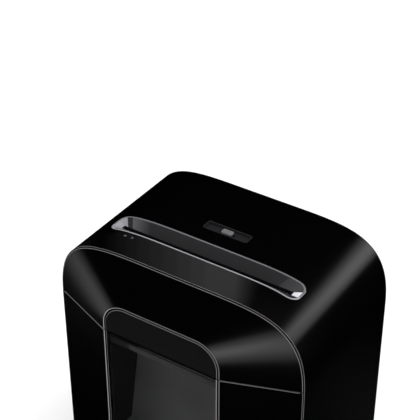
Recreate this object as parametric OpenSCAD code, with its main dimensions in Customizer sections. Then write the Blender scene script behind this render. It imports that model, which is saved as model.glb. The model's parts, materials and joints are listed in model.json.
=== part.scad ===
// Desk-side cross-cut paper shredder: a wrap-round shell, a faceted nose with an arched front,
// a pull-out bin with a smoked window, and a twin-shaft cutting block driven by a geared motor.
// Frame: +X right, +Y to the back, +Z up. Origin on the floor, under the middle of the shell.

/* [Shell] */
// Overall width across the shell
body_w = 335.5; // [300:1:380]
// Overall depth, nose to rear edge
body_d = 228; // [215:1:260]
// Overall height, floor to the crown of the top
body_h = 390; // [370:1:430]
// Wall of the moulded shells
wall = 2.5; // [2:0.1:3]
// How far the shoulder falls from the crown to the straight side
shoulder_fall = 97.6; // [85:1:105]
// Flatness of the top: a higher power gives a flatter top
top_power = 5.42; // [4.6:0.1:6.5]
// Squareness of the shoulder where it meets the side
side_power = 2.74; // [2.2:0.1:3]
// Height of the rubber feet
foot_h = 7; // [6:0.5:12]
// Radius of the rubber feet
foot_r = 12; // [9:1:15]

/* [Nose] */
// Width of that joint
split_gap = 1.5; // [1:0.1:3]
// How far the nose stands forward of the shell's front edge
nose_d = 33.4; // [26:1:40]
// Width of the arched front panel's surround
arch_w = 157.6; // [130:1:170]
// Height of the arch above the head joint
arch_rise = 41.7; // [34:1:50]
// Corner radius of the arch
arch_r = 31; // [20:1:34]
// Width of the shadow groove round the arch
arch_groove = 2.4; // [1.5:0.1:4]
// Width of the shadow groove between shell and nose
shell_groove = 1.2; // [0.8:0.1:3]
// How far the shell stands proud of the nose
shell_step = 0.6; // [0.3:0.1:1]

/* [Paper entry] */
// Distance from the shell's front edge back to the recess
entry_setback = 42; // [36:1:48]
// Distance from the side of the body to the end of the recess
entry_side = 39.75; // [36:0.25:48]
// Front-to-back size of the recess
entry_d = 33; // [28:1:36]
// Corner radius of the recess
entry_r = 12; // [6:1:13]
// Width of the rim round the recess
entry_rim = 2.2; // [1.5:0.1:4]
// Distance from the side of the body to the end of the slot
slot_side = 51.75; // [50:0.25:58]
// Front-to-back gap of the slot
slot_gap = 6; // [5:0.2:8]
// Distance from the recess's front edge to the slot's middle
slot_setback = 15.2; // [13:0.2:17]
// Depth of the funnel below the crown
funnel_h = 10.5; // [9:0.5:14]
// Length of the chute below the funnel
chute_l = 17.5; // [14:0.5:20]
// Space between the chute's lower end and the cutter discs
chute_gap = 10.5; // [8:0.5:14]
// Reach of the paper flap from its pivot to the slot's middle
flap_l = 20; // [17:0.5:24]

/* [Cutting block] */
// Distance between the two cutter shafts
shaft_gap = 30; // [29.5:0.1:30]
// Distance from the cutter shafts down to the deck
deck_drop = 34; // [31:1:40]
// Number of discs on the front shaft
disc_count = 25; // [21:2:25]
// Play between neighbouring discs of the two shafts
disc_play = 0.2; // [0.1:0.05:0.5]
// Radius of a disc at its hook tips
disc_r = 17.5; // [16.5:0.1:18]
// Number of hooks on a disc
hook_count = 4; // [3:1:6]
// Height of a hook
hook_h = 2; // [1:0.1:3]
// Radius of the spacers between discs
spacer_r = 11; // [9.5:0.1:11.2]
// Width across the flats of the hexagonal shaft
hex_af = 12; // [11.5:0.1:12.5]
// Radius of the shaft journals
journal_r = 4.95; // [4.5:0.05:5.2]
// Thickness of the steel frame plates
plate_t = 2.5; // [2:0.1:3]
// Room between the side of the body and a frame plate, for the gearbox
block_side = 51.75; // [50:0.25:56]
// Length of each shaft that is left free of discs
shaft_free = 12; // [10:0.5:16]
// Radius of the tie rods
rod_r = 4; // [3:0.1:4.5]

/* [Gears] */
// Gear pressure angle
pressure = 25; // [24:0.5:26]
// Teeth on each pinion
pinion_n = 12; // [12:1:13]
// Teeth on the first gear, driven by the motor
first_n = 45; // [42:1:46]
// Teeth on the second gear
second_n = 40; // [38:1:41]
// Teeth on the final gear, on the rear cutter shaft
final_n = 44; // [42:1:45]
// Teeth on each of the two gears that tie the shafts together
sync_n = 20; // [18:2:22]
// Gear face width
gear_w = 6.5; // [5:0.1:7]
// Play between teeth at the pitch circle
backlash = 0.3; // [0.2:0.05:0.4]

/* [Motor] */
// Radius of the motor
motor_r = 28; // [24:0.5:29]
// Length of the motor's stator
stator_l = 62; // [50:1:70]
// Radius of the rotor
rotor_r = 16; // [13:0.5:17]
// Radius of the motor shaft
motor_shaft_r = 2.5; // [2:0.1:2.7]
// Distance from the rear cutter shaft back to the motor
motor_back = 74; // [70:0.5:77]

/* [Bin] */
// Wall of the bin tub
tub_wall = 2; // [1.6:0.1:2.4]
// Gap between the tub and the shell on each side
tub_side_gap = 5.2; // [5:0.1:8]
// Space between the tub's rim and the deck
tub_rim_gap = 5; // [4.5:0.1:12]
// Space behind the tub's rim, where the interlock sits
tub_back_gap = 23.5; // [20:0.5:40]
// How far the tub's rear wall leans back from its floor to its rim
tub_rake = 54; // [10:1:70]
// Height of the window's lower edge
window_low = 44; // [40:1:90]
// Thickness of the window
window_t = 2.4; // [2:0.1:3]
// Width of the ledge that carries the window
window_ledge = 4.6; // [4:0.1:12]
// Width of the finger scoop under the nose
scoop_w = 96; // [70:1:110]
// Height of the finger scoop
scoop_h = 17; // [12:1:20]

/* [Controls] */
// Length of the control plate behind the paper entry
control_l = 62; // [54:1:80]
// Front-to-back size of the control plate
control_d = 17; // [14:1:20]
// Travel of the selector each way
selector_travel = 7; // [5:0.5:8]
// Radius of the two indicator lenses
lens_r = 2.1; // [1.5:0.1:3]
// Radius of the mains lead's hole in the gland
lead_r = 3.6; // [3:0.1:4.2]

/* [Hidden] */

$fn = 48;
e = 0.01;                 // overrun of a cut past the face it opens
above = 60;               // height of a cut that leaves through the top
fit = 0.3;                // running gap between moulded parts
slip = 0.05;              // radial gap of a wheel or disc on its own shaft
journal_gap = 0.06;       // radial gap of a shaft in its bush

half_w = body_w / 2;
entry_l = body_w - 2 * entry_side;
slot_l = body_w - 2 * slot_side;    // the width of sheet that the slot takes
plate_x = half_w - block_side;      // the inner face of a frame plate
disc_pitch = (2 * plate_x - shaft_free) / disc_count;
disc_t = disc_pitch / 2 - disc_play;
deck_t = 3;
funnel_z = body_h - funnel_h;       // the funnel's floor, where the slot opens
chute_z = funnel_z - chute_l;
shaft_h = chute_z - chute_gap - disc_r;
deck_z = shaft_h - deck_drop;       // the deck's upper face
split_h = deck_z + deck_t;          // the joint between head and bin
front_y = -body_d / 2;
back_y = body_d / 2;
seam_y = front_y + nose_d;
shell_y = seam_y + shell_groove;
arch_hw = arch_w / 2;
arch_top = split_h + arch_rise;
arch_steps = 26;          // steps on each half of the shell's arch
lip_t = 2;                // thickness of lips, ledges and flanges
seat = 0.2;               // how deep a face panel lies behind its own thickness
pocket_d = window_t + seat;
fascia_low = split_h + split_gap / 2;

// Paper entry
entry_y0 = shell_y + entry_setback;
slot_y = entry_y0 + slot_setback;
entry_y = entry_y0 + entry_d / 2;
chute_wall = 2;

// Cutting block
front_y0 = slot_y - shaft_gap / 2;
rear_y0 = slot_y + shaft_gap / 2;
spacer_t = disc_pitch - disc_t;
plate_out = plate_x + plate_t;
deck_y0 = seam_y + 14;
plate_top = shaft_h + 24;
plate_y0 = front_y0 - 28;
bush_r = 8;
bush_flange_r = 10;
bush_in = 2.2;            // how far a bush stands inside the frame plate
bush_out = 1.2;           // how far it stands outside
standoff_r = 3.4;
frame_screw_r = 2;
frame_head_r = 3.6;
frame_head_t = 1.8;
rod_low = deck_z + plate_t + frame_head_r + 2.9;   // clear of the frame plates' feet
rod_high = shaft_h + disc_r - 0.5;
rod_y = [front_y0 - disc_r - rod_r - 0.5, rear_y0 + disc_r + rod_r + 2.5];
rod_places = [for (y = rod_y, z = [rod_high, rod_low]) [y, z]];
rod_tapped = 12;          // depth of the tapped hole in each end of a rod

// Gear train: centres are [y, z], stages step outwards from the right frame plate
module_first = 0.8;
module_second = 1;
module_final = 1.25;
module_sync = shaft_gap / sync_n;
stage_gap = 1;
stage1_x = plate_out + 2;
stage2_x = stage1_x + gear_w + stage_gap;
stage3_x = stage2_x + gear_w + stage_gap;
outer_plate_x = stage3_x + gear_w + 2;
function centres(m, a, b) = m * (a + b) / 2;
function between(p, q) = norm(q - p);
function heading(p, q) = atan2(q[1] - p[1], q[0] - p[0]);
// upper meeting point of a circle of radius a round p and one of radius b round q
function meeting(p, q, a, b) = let (d = between(p, q), k = (a * a - b * b + d * d) / (2 * d),
    h = sqrt(a * a - k * k), u = (q - p) / d) p + k * u + h * [-u[1], u[0]];
final_c = [rear_y0, shaft_h];
front_c = [front_y0, shaft_h];
motor_c = final_c + [motor_back, 2];
second_rise = 6;
second_reach = centres(module_final, pinion_n, final_n);
second_c = final_c + [sqrt(second_reach * second_reach - second_rise * second_rise), second_rise];
first_c = meeting(second_c, motor_c, centres(module_second, pinion_n, second_n),
    centres(module_first, pinion_n, first_n));
standoff_z = deck_z + plate_t + standoff_r + 1.1;
standoff_places = [[front_y0 - 2, standoff_z],
    [front_y0 - module_sync * sync_n / 3, shaft_h + module_sync * (sync_n / 2 + 1) + 1.5],
    [second_c[0] + module_second * second_n / 2 + 7, standoff_z]];
axle_r = 3;

// Motor, along X, against the right frame plate
bracket_l = 14;
stator_x1 = plate_x - bracket_l;
stator_x0 = stator_x1 - stator_l;
rear_bracket_l = 16;
motor_x0 = stator_x0 - rear_bracket_l;
rotor_gap = 0.8;
coil_h = 13;
coil_wall = 4;            // iron left outside a field coil

// Bin
bin_z0 = foot_h + 1.5;
bin_z1 = split_h - split_gap / 2;
glide_t = 1.3;
tub_z0 = foot_h + wall + 0.2 + glide_t;
tub_hw = half_w - wall - tub_side_gap;
screw_r = 1.3;
head_r = 3.2;
head_t = 1.6;

// Controls
control_y = entry_y0 + entry_d + 30;
control_r = 4;
knob_l = 14;
knob_d = 8;
stem_l = 5;
stem_w = 3;
lens_x = 71.75 - half_w;
lens_pitch = 10;
lens_y = entry_y0 - 7;
lens_h = 18;

// Paper sensor, in front of the chute
sensor_x = 60;
flap_w = 5;
flap_t = 1.6;
flap_pivot = [slot_y - flap_l, chute_z - 3];
flap_axle_r = 1.6;
ear_t = 2;
ear_gap = 1;
sensor_y0 = flap_pivot[0] - 22;

// Interlock, under the back of the deck
lock_x = -60;
panel_t = 2.5;
panel_recess = 2;
panel_y1 = back_y - panel_recess;
panel_y0 = panel_y1 - panel_t;
tub_top = deck_z - deck_t - tub_rim_gap;
tub_back_top = panel_y0 - tub_back_gap - tub_wall;
tub_back_low = tub_back_top - tub_rake;
lock_z = tub_top - 3;
lock_travel = 4;
plunger_r = 2;
plunger_l = 15;

// Mains inlet
gland_x = 49.75 - half_w;
gland_z = deck_z + 22;
gland_r = 7.5;
block_l = 24;             // the terminal block behind the gland
block_d = 14;
block_h = 13;
block_gap = 26;           // room for the leads between block and panel

// ---- outlines ----------------------------------------------------------------------------

// The shell's arch is a superellipse. A point of it for a skin set in by t, at angle a:
// 0 is the crown and 90 the foot of the shoulder
function arch_point(t, a) = [(half_w - t) * pow(sin(a), 2 / top_power),
    body_h - t - (shoulder_fall - t) * (1 - pow(cos(a), 2 / side_power))];

// Angle at which the arch comes down to height z
function arch_angle(t, z) =
    acos(pow(max(0, 1 - (body_h - t - z) / (shoulder_fall - t)), side_power / 2));

// Height of the arch over x
function arch_z(x, t) = body_h - t - (shoulder_fall - t) *
    (1 - pow(1 - pow(min(1, abs(x) / (half_w - t)), top_power), 1 / side_power));

// The way the arch faces at angle a, from 0 for sideways to 90 for upwards
function arch_facing(a) = atan2(half_w / top_power * pow(sin(a), 2 / top_power - 1) * cos(a),
    shoulder_fall / side_power * pow(cos(a), 2 / side_power - 1) * sin(a));

// The arch from its crown down to height low
function arch_half(t, low) = [for (i = [0 : arch_steps])
    arch_point(t, arch_angle(t, low) * i / arch_steps)];

module arch2d(t, low) {
    h = arch_half(t, low);
    foot = h[arch_steps][1] > low + e ? [[half_w - t, low], [-(half_w - t), low]] : [];
    polygon(concat([for (i = [arch_steps : -1 : 1]) [-h[i][0], h[i][1]]], h, foot));
}

// The arched front, for a panel set in by t, from height low up
nose_c = [arch_hw - arch_r, arch_top - arch_r];
function nose_point(t, a) = nose_c + (arch_r - t) * [cos(a), sin(a)];

module nose2d(t, low) {
    corner = [for (a = [0 : 7.5 : 90]) nose_point(t, a)];
    polygon(concat([[arch_hw - t, low]], corner,
        [for (i = [len(corner) - 1 : -1 : 0]) [-corner[i][0], corner[i][1]]], [[t - arch_hw, low]]));
}

// A closed solid through sections of equal length, with flat or ruled ends
module loft(sections) {
    n = len(sections[0]);
    last = len(sections) - 1;
    polyhedron(points = [for (s = sections) each s], faces = concat(
        [for (i = [0 : last - 1], k = [0 : n - 1], half = [0, 1])
            let (a = i * n + k, b = i * n + (k + 1) % n)
            half == 0 ? [a, b + n, b] : [a, a + n, b + n]],
        [[for (k = [0 : n - 1]) k], [for (k = [n - 1 : -1 : 0]) last * n + k]]), convexity = 6);
}

module rounded(l, d, r) {
    for (x = [-1, 1], y = [-1, 1])
        translate([x * (l / 2 - r), y * (d / 2 - r)]) circle(r);
    square([l - 2 * r, d], center = true);
    square([l, d - 2 * r], center = true);
}

// A front outline in X and Z, drawn from y0 back to y1
module front_to_back(y0, y1) {
    translate([0, y1, 0]) rotate([90, 0, 0]) linear_extrude(y1 - y0) children();
}

// A side outline in Y and Z, drawn from x0 to x1
module side_to_side(x0, x1) {
    translate([x0, 0, 0]) rotate([90, 0, 90]) linear_extrude(x1 - x0) children();
}

module bar_x(x0, x1, r, at) {
    translate([x0, at[0], at[1]]) rotate([0, 90, 0]) cylinder(r = r, h = x1 - x0);
}

module box(x, y, z) {
    translate([x[0], y[0], z[0]]) cube([x[1] - x[0], y[1] - y[0], z[1] - z[0]]);
}

// The range from a to b on side s of the middle, which is at mid
function sided(s, a, b, mid = 0) = s > 0 ? [mid + a, mid + b] : [mid - b, mid - a];

// ---- gears -------------------------------------------------------------------------------

deg = 180 / PI;
// polar angle of an involute of base radius rb at radius r
function involute(rb, r) = let (k = sqrt(max(0, (r / rb) * (r / rb) - 1))) k * deg - atan(k);
function tooth_half(m, n, r) = let (rp = m * n / 2, rb = rp * cos(pressure))
    90 / n - backlash / 2 / rp * deg / 2 + involute(rb, rp) - involute(rb, max(r, rb));
flank_steps = 4;

module gear2d(m, n) {
    rp = m * n / 2;
    tip = rp + 0.9 * m;
    root = rp - 1.2 * m;
    start = max(root + 0.05 * m, rp * cos(pressure));
    flank = [for (i = [0 : flank_steps]) start + (tip - start) * i / flank_steps];
    polygon([for (k = [0 : n - 1]) let (mid = k * 360 / n)
        each concat(
            [let (a = mid - tooth_half(m, n, start)) root * [cos(a), sin(a)]],
            [for (r = flank) let (a = mid - tooth_half(m, n, r)) r * [cos(a), sin(a)]],
            [for (i = [flank_steps : -1 : 0]) let (r = flank[i], a = mid + tooth_half(m, n, r))
                r * [cos(a), sin(a)]],
            [let (a = mid + tooth_half(m, n, start)) root * [cos(a), sin(a)]])]);
}

// A gear at c from x, with its bore; a driver points a tooth at its mate, a driven gear a gap
module gear(m, n, c, x, w, toward, driver, bore) {
    turn = toward + (driver ? 0 : 180 / n);
    side_to_side(x, x + w) translate(c) difference() {
        rotate(turn) gear2d(m, n);
        circle(bore);
    }
}

// ---- casings -----------------------------------------------------------------------------

rear_boss_places = [for (x = [-1, 1], z = [32, split_h / 2, split_h - 34]) [x * (half_w - wall - 5), z]];
boss_r = 5;
boss_l = 18;
inner_hw = half_w - wall;
hang_hw = inner_hw - fit;          // half width of what stands between the shell's sides

// Rails inside the shell: one pair carries the deck, the other takes the base plate's screws
rail_y = [shell_y + 17, panel_y0 - boss_l - 5];
rail_t = 4;
deck_rail_w = 11;
base_rail_w = tub_side_gap - 0.6;
base_rail_h = 6;
deck_screw_x = inner_hw - deck_rail_w / 2;
base_screw_x = inner_hw - base_rail_w / 2;
rail_screw_y = [rail_y[0] + 8, (rail_y[0] + rail_y[1]) / 2, rail_y[1] - 8];

module rail(s, w, z0, z1, screw_x) difference() {
    box(sided(s, inner_hw - w, inner_hw + e), rail_y, [z0, z1]);
    for (y = rail_screw_y) translate([s * screw_x, y, z0 - 1]) cylinder(r = screw_r, h = z1 - z0 + 2);
}

module wrap_shell() color("#101012") {
    difference() {
        front_to_back(shell_y, back_y) arch2d(0, foot_h);
        front_to_back(shell_y - 1, back_y + 1) arch2d(wall, foot_h - 1);
        translate([0, entry_y, chute_z]) linear_extrude(above) rounded(entry_l, entry_d, entry_r);
        translate([0, control_y, chute_z]) linear_extrude(above)
            rounded(control_l, control_d, control_r);
        for (i = [0, 1])
            translate([lens_x + i * lens_pitch, lens_y, chute_z]) cylinder(r = lens_r + 0.1, h = above);
    }
    for (s = [-1, 1]) {
        rail(s, deck_rail_w, deck_z - deck_t - rail_t, deck_z - deck_t, deck_screw_x);
        rail(s, base_rail_w, foot_h + wall, foot_h + wall + base_rail_h, base_screw_x);
    }
    // screw bosses for the rear panel
    for (p = rear_boss_places) difference() {
        front_to_back(panel_y0 - boss_l, panel_y0) union() {
            translate(p) circle(boss_r);
            translate([p[0] > 0 ? p[0] : p[0] - boss_r - 0.5, p[1] - boss_r])
                square([boss_r + 0.5, 2 * boss_r]);
        }
        front_to_back(panel_y0 - 14, panel_y0 + 1) translate(p) circle(screw_r);
    }
}

// The nose: a ruled skin from the shell's arch down to the small front arch. Each section runs
// from the shell edge to the arch, back by the depth of the inlay's pocket, and up the inside
module nose_fascia() color("#0c0c0e") {
    a_low = arch_angle(shell_step, fascia_low);
    half = [for (i = [1 : arch_steps]) let (
        a = a_low * i / arch_steps,
        outer = arch_point(shell_step, a),
        front = i == arch_steps ? [arch_hw, fascia_low] : nose_point(0, arch_facing(a)),
        inner = front + (outer - front) * (1 - pocket_d / nose_d))
        [[outer[0], seam_y, outer[1]], [front[0], front_y, front[1]],
         [front[0], front_y + pocket_d, front[1]], [inner[0], seam_y, inner[1]]]];
    loft(concat([for (i = [arch_steps - 1 : -1 : 0]) [for (p = half[i]) [-p[0], p[1], p[2]]]], half));
    // lip that tucks under the shell and floors the groove
    front_to_back(seam_y - 0.5, shell_y + 9) difference() {
        arch2d(wall + fit, fascia_low);
        arch2d(wall + fit + lip_t, fascia_low - 1);
    }
    // ledge behind the arched inlay
    front_to_back(front_y + pocket_d, front_y + pocket_d + lip_t) difference() {
        nose2d(-3, fascia_low);
        nose2d(9, fascia_low - 1);
    }
}

module arch_inlay() color("#18181a")
    front_to_back(front_y, front_y + window_t) nose2d(arch_groove, fascia_low);

// The funnel's hollow, in sections along X: its mouth follows the crown and its floor is the slot
funnel_hl = entry_l / 2 - entry_rim;
funnel_r = entry_r - entry_rim;
function mouth_half(x) = let (over = max(0, abs(x) - (funnel_hl - funnel_r)))
    entry_d / 2 - entry_rim - funnel_r + sqrt(max(0, funnel_r * funnel_r - over * over));
end_steps = 6;
funnel_end = [for (i = [0 : end_steps - 1]) funnel_hl - funnel_r + funnel_r * cos(90 * i / end_steps)];
funnel_xs = concat(-funnel_end, [for (i = [-4 : 4]) (funnel_hl - funnel_r) * i / 4],
    [for (i = [end_steps - 1 : -1 : 0]) funnel_end[i]]);

module funnel_space() loft([for (x = funnel_xs)
    let (h = mouth_half(x), z = arch_z(x, 0) + 1, xs = x * slot_l / 2 / funnel_hl)
    [[x, entry_y - h, z], [xs, slot_y - slot_gap / 2, funnel_z - e],
     [xs, slot_y + slot_gap / 2, funnel_z - e], [x, entry_y + h, z]]]);

rib_count = 46;
rib_pitch = slot_l / rib_count;
ear_x = flap_w / 2 + ear_gap;

// underside of the rim, at the lowest point of the flange under the shell
rim_low = min(funnel_z - lip_t, arch_z(entry_l / 2 + 3, wall + fit + lip_t));

module paper_throat() color("#3a3a40") {
    difference() {
        union() {
            // rim that fills the recess and follows the crown
            intersection() {
                translate([0, entry_y, rim_low]) linear_extrude(above)
                    rounded(entry_l - 2 * fit, entry_d - 2 * fit, entry_r - fit);
                front_to_back(entry_y0 - 5, entry_y0 + entry_d + 5) arch2d(0.3, rim_low);
            }
            // flange that bears on the shell from inside
            intersection() {
                translate([0, entry_y, rim_low]) linear_extrude(above)
                    rounded(entry_l + 6, entry_d + 6, entry_r + 3);
                front_to_back(entry_y0 - 5, entry_y0 + entry_d + 5) difference() {
                    arch2d(wall + fit, rim_low);
                    arch2d(wall + fit + lip_t, rim_low - 1);
                }
            }
            box([-slot_l / 2 - chute_wall, slot_l / 2 + chute_wall],
                [slot_y - slot_gap / 2 - chute_wall, slot_y + slot_gap / 2 + chute_wall],
                [chute_z, funnel_z]);
            // ears that carry the paper flap and its switch
            for (s = [-1, 1])
                box(sided(s, ear_x, ear_x + ear_t, sensor_x),
                    [sensor_y0, slot_y - slot_gap / 2], [flap_pivot[1] - 4, rim_low + 0.5]);
        }
        funnel_space();
        box([-slot_l / 2, slot_l / 2], [slot_y - slot_gap / 2, slot_y + slot_gap / 2],
            [chute_z - 12, funnel_z + e]);
        bar_x(sensor_x - 10, sensor_x + 10, flap_axle_r + 0.1, flap_pivot);
    }
    // guide ribs along the front of the chute
    for (i = [1 : rib_count - 1])
        box([-slot_l / 2 + i * rib_pitch - 0.5, -slot_l / 2 + i * rib_pitch + 0.5],
            [slot_y - slot_gap / 2 - e, slot_y - slot_gap / 2 + 0.7], [chute_z, funnel_z]);
}

vent_count = 16;
vent_w = 3;
vent_pitch = 9;
vent_h = 34;

module rear_panel() color("#141416") front_to_back(panel_y0, panel_y1) difference() {
    arch2d(wall + fit, foot_h + wall + fit);
    // two rows of vents, the upper one shorter
    for (i = [0 : vent_count - 1], row = [0, 1])
        translate([(i - (vent_count - 1) / 2) * vent_pitch - vent_w / 2, deck_z + 6 + row * (vent_h + 6)])
            square([vent_w, vent_h - row * 8]);
    translate([gland_x, gland_z]) circle(gland_r + 0.1);
    for (p = rear_boss_places) translate(p) circle(screw_r + 0.3);
}

foot_places = [for (x = [-1, 1], y = [-1, 1]) [x * (half_w - 34), y * (body_d / 2 - 46)]];

glide_x = tub_hw - 24;
glide_hw = 4;
guide_setback = 30;       // from the shell's front edge back to the bin's guides

module base_plate() color("#121214") {
    difference() {
        box([-hang_hw, hang_hw], [shell_y + 9, panel_y1], [foot_h, foot_h + wall]);
        for (p = foot_places) translate([p[0], p[1], foot_h - 1]) cylinder(r = screw_r + fit, h = wall + 2);
        for (s = [-1, 1], y = rail_screw_y) translate([s * base_screw_x, y, foot_h - 1])
            cylinder(r = screw_r + 0.2, h = wall + 2);
    }
    // guides that keep the bin straight, outside its glides
    for (s = [-1, 1])
        box(sided(s, glide_x + glide_hw + fit, glide_x + glide_hw + fit + 2),
            [shell_y + guide_setback, tub_back_low], [foot_h + wall - e, foot_h + wall + 1]);
}

module rubber_feet() color("#1c1c1c") for (p = foot_places) translate([p[0], p[1], 0])
    difference() {
        union() {
            cylinder(r1 = foot_r - 1.5, r2 = foot_r, h = 2);
            translate([0, 0, 2]) cylinder(r = foot_r, h = foot_h - 2);
        }
        translate([0, 0, -1]) cylinder(r = head_r + 0.3, h = 1 + foot_h - 3);
        cylinder(r = screw_r + 0.2, h = foot_h + 1);
    }

module foot_screws() color("silver") for (p = foot_places) translate([p[0], p[1], 0]) {
    translate([0, 0, foot_h - 3 - head_t]) cylinder(r = head_r, h = head_t);
    translate([0, 0, foot_h - 3 - e]) cylinder(r = screw_r, h = 3 + wall);
}

// The self-tapping screws of the casing: rear panel, deck and base plate
module case_screws() color("silver") {
    for (p = rear_boss_places) {
        front_to_back(panel_y1, panel_y1 + head_t) translate(p) circle(head_r);
        front_to_back(panel_y0 - 11, panel_y1 + e) translate(p) circle(screw_r - slip);
    }
    for (s = [-1, 1], y = rail_screw_y) {
        translate([s * deck_screw_x, y, deck_z]) {
            cylinder(r = head_r, h = head_t);
            translate([0, 0, -deck_t - rail_t + 0.5]) cylinder(r = screw_r - slip, h = deck_t + rail_t);
        }
        translate([s * base_screw_x, y, foot_h]) {
            translate([0, 0, -head_t]) cylinder(r = head_r, h = head_t);
            translate([0, 0, -e]) cylinder(r = screw_r - slip, h = wall + base_rail_h - 0.5);
        }
    }
}

// ---- head --------------------------------------------------------------------------------

outlet_y = [front_y0 - 20, rear_y0 + 20];
outlet_hw = plate_x - 3;

module head_deck() color("#202022") difference() {
    union() {
        box([-hang_hw, hang_hw], [deck_y0, panel_y0 - fit], [deck_z - deck_t, deck_z]);
        box([-outlet_hw - 2, outlet_hw + 2], [outlet_y[0] - 2, outlet_y[1] + 2],
            [deck_z - deck_t - 2, deck_z]);
    }
    box([-outlet_hw, outlet_hw], outlet_y, [deck_z - 10, deck_z + 1]);
    for (s = [-1, 1], y = rail_screw_y) translate([s * deck_screw_x, y, deck_z - deck_t - 1])
        cylinder(r = screw_r + 0.2, h = deck_t + 2);
    for (s = [-1, 1], y = plate_foot_y) translate([s * plate_foot_x, y, deck_z - deck_t - 1])
        cylinder(r = frame_screw_r, h = deck_t + 2);
}

plate_y1 = rear_y0 + 34;
plate_foot_w = 9;
plate_foot_x = plate_out + plate_foot_w / 2 + 0.4;
plate_foot_y = [plate_y0 + 12, plate_y1 - 11];
arm_y1 = motor_c[0] + motor_r - 4;
motor_screws = [for (s = [-1, 1]) motor_c + 20.5 * [s * cos(45), -sin(45)]];

// A frame plate with outturned feet; s is the side it stands on. The right one has an arm that
// carries the motor and the two idler axles
module frame_plate(s) {
    side_to_side(s > 0 ? plate_x : -plate_out, s > 0 ? plate_out : -plate_x) difference() {
        union() {
            translate([plate_y0, deck_z]) square([plate_y1 - plate_y0, plate_top - deck_z]);
            if (s > 0) translate([second_c[0] - 8, deck_z])
                square([arm_y1 - second_c[0] + 8, motor_c[1] + 26 - deck_z]);
        }
        for (y = [front_y0, rear_y0]) translate([y, shaft_h]) circle(bush_r + 0.02);
        for (p = rod_places) translate(p) circle(frame_screw_r + 0.2);
        if (s > 0) {
            translate(motor_c) circle(motor_shaft_r + 4);
            for (c = [first_c, second_c]) translate(c) circle(axle_r);
            for (p = motor_screws) translate(p) circle(frame_screw_r + 0.2);
        }
    }
    for (y = plate_foot_y) difference() {
        box(sided(s, plate_out - e, plate_out + plate_foot_w),
            [y - 7, y + 7], [deck_z, deck_z + plate_t]);
        translate([s * plate_foot_x, y, deck_z - 1]) cylinder(r = frame_screw_r + 0.2, h = plate_t + 2);
    }
}

module left_frame_plate() color("#b8bcc0") frame_plate(-1);
module right_frame_plate() color("#b8bcc0") frame_plate(1);

module tie_rods() color("#c8ccd0") for (p = rod_places) difference() {
    bar_x(-plate_x, plate_x, rod_r, p);
    for (s = [-1, 1])
        bar_x(s > 0 ? plate_x - rod_tapped : -plate_x - 1, s > 0 ? plate_x + 1 : -plate_x + rod_tapped,
            frame_screw_r, p);
}

// A machine screw along X whose head stands on the face at x; way is the side of the head
module screw_x(x, way, p, l) {
    bar_x(way > 0 ? x : x - frame_head_t, way > 0 ? x + frame_head_t : x, frame_head_r, p);
    bar_x(way > 0 ? x - l : x - e, way > 0 ? x + e : x + l, frame_screw_r - slip, p);
}

// The machine screws: tie rods, frame feet, gearbox standoffs and motor
module frame_screws() color("silver") {
    for (p = rod_places) {
        screw_x(plate_out, 1, p, 10);
        screw_x(-plate_out, -1, p, 10);
    }
    for (s = [-1, 1], y = plate_foot_y) translate([s * plate_foot_x, y, deck_z + plate_t]) {
        cylinder(r = frame_head_r, h = frame_head_t);
        translate([0, 0, -plate_t - deck_t]) cylinder(r = frame_screw_r - slip, h = plate_t + deck_t + e);
    }
    for (p = standoff_places) screw_x(outer_plate_x + plate_t, 1, p, 8);
    for (p = motor_screws) screw_x(plate_out, 1, p, plate_t + 2.8);
}

module shaft_bushes() color("#b08a4a") for (y = [front_y0, rear_y0], s = [-1, 1]) difference() {
    union() {
        bar_x(s > 0 ? plate_x - bush_in : -plate_out - bush_out,
            s > 0 ? plate_out + bush_out : -plate_x + bush_in, bush_r, [y, shaft_h]);
        bar_x(s > 0 ? plate_x - bush_in : -plate_x, s > 0 ? plate_x : -plate_x + bush_in,
            bush_flange_r, [y, shaft_h]);
    }
    bar_x(-half_w, half_w, journal_r + journal_gap, [y, shaft_h]);
}

comb_t = spacer_t - 0.6;
comb_gap = 0.4;
comb_bar = 5;

// A stripper comb: way is -1 for the front one and 1 for the rear; its fingers fill the gaps at xs
module stripper_comb(y, way, xs) {
    outer = y + way * (disc_r + 1.5);
    difference() {
        union() {
            box([-plate_x, plate_x], way > 0 ? [outer, outer + comb_bar] : [outer - comb_bar, outer],
                [shaft_h - 13, shaft_h + 9]);
            for (x = xs)
                box([x - comb_t / 2, x + comb_t / 2], way > 0 ? [y, outer + e] : [outer - e, y],
                    [shaft_h - 10, shaft_h + 9]);
        }
        bar_x(-plate_x - 1, plate_x + 1, spacer_r + comb_gap, [y, shaft_h]);
    }
}

function front_disc_x(i) = (i - (disc_count - 1) / 2) * disc_pitch;
function rear_disc_x(i) = (i - (disc_count - 2) / 2) * disc_pitch;
front_discs = [for (i = [0 : disc_count - 1]) front_disc_x(i)];
rear_discs = [for (i = [0 : disc_count - 2]) rear_disc_x(i)];

module front_stripper_comb() color("#2a2a2c") stripper_comb(front_y0, -1, rear_discs);
module rear_stripper_comb() color("#2a2a2c")
    stripper_comb(rear_y0, 1, [for (i = [1 : disc_count - 2]) front_disc_x(i)]);

gearbox_y = [standoff_places[1][0] - 5, standoff_places[2][0] + 6];

module gearbox_plate() color("#b8bcc0") side_to_side(outer_plate_x, outer_plate_x + plate_t)
    difference() {
        translate([gearbox_y[0], deck_z])
            square([gearbox_y[1] - gearbox_y[0], standoff_places[1][1] + 5 - deck_z]);
        translate(final_c) circle(journal_r + journal_gap);
        translate(second_c) circle(axle_r);
        for (p = standoff_places) translate(p) circle(frame_screw_r + 0.2);
    }

module gearbox_standoffs() color("#c8ccd0") for (p = standoff_places) difference() {
    bar_x(plate_out, outer_plate_x, standoff_r, p);
    bar_x(outer_plate_x - 10, outer_plate_x + 1, frame_screw_r, p);
}

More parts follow.
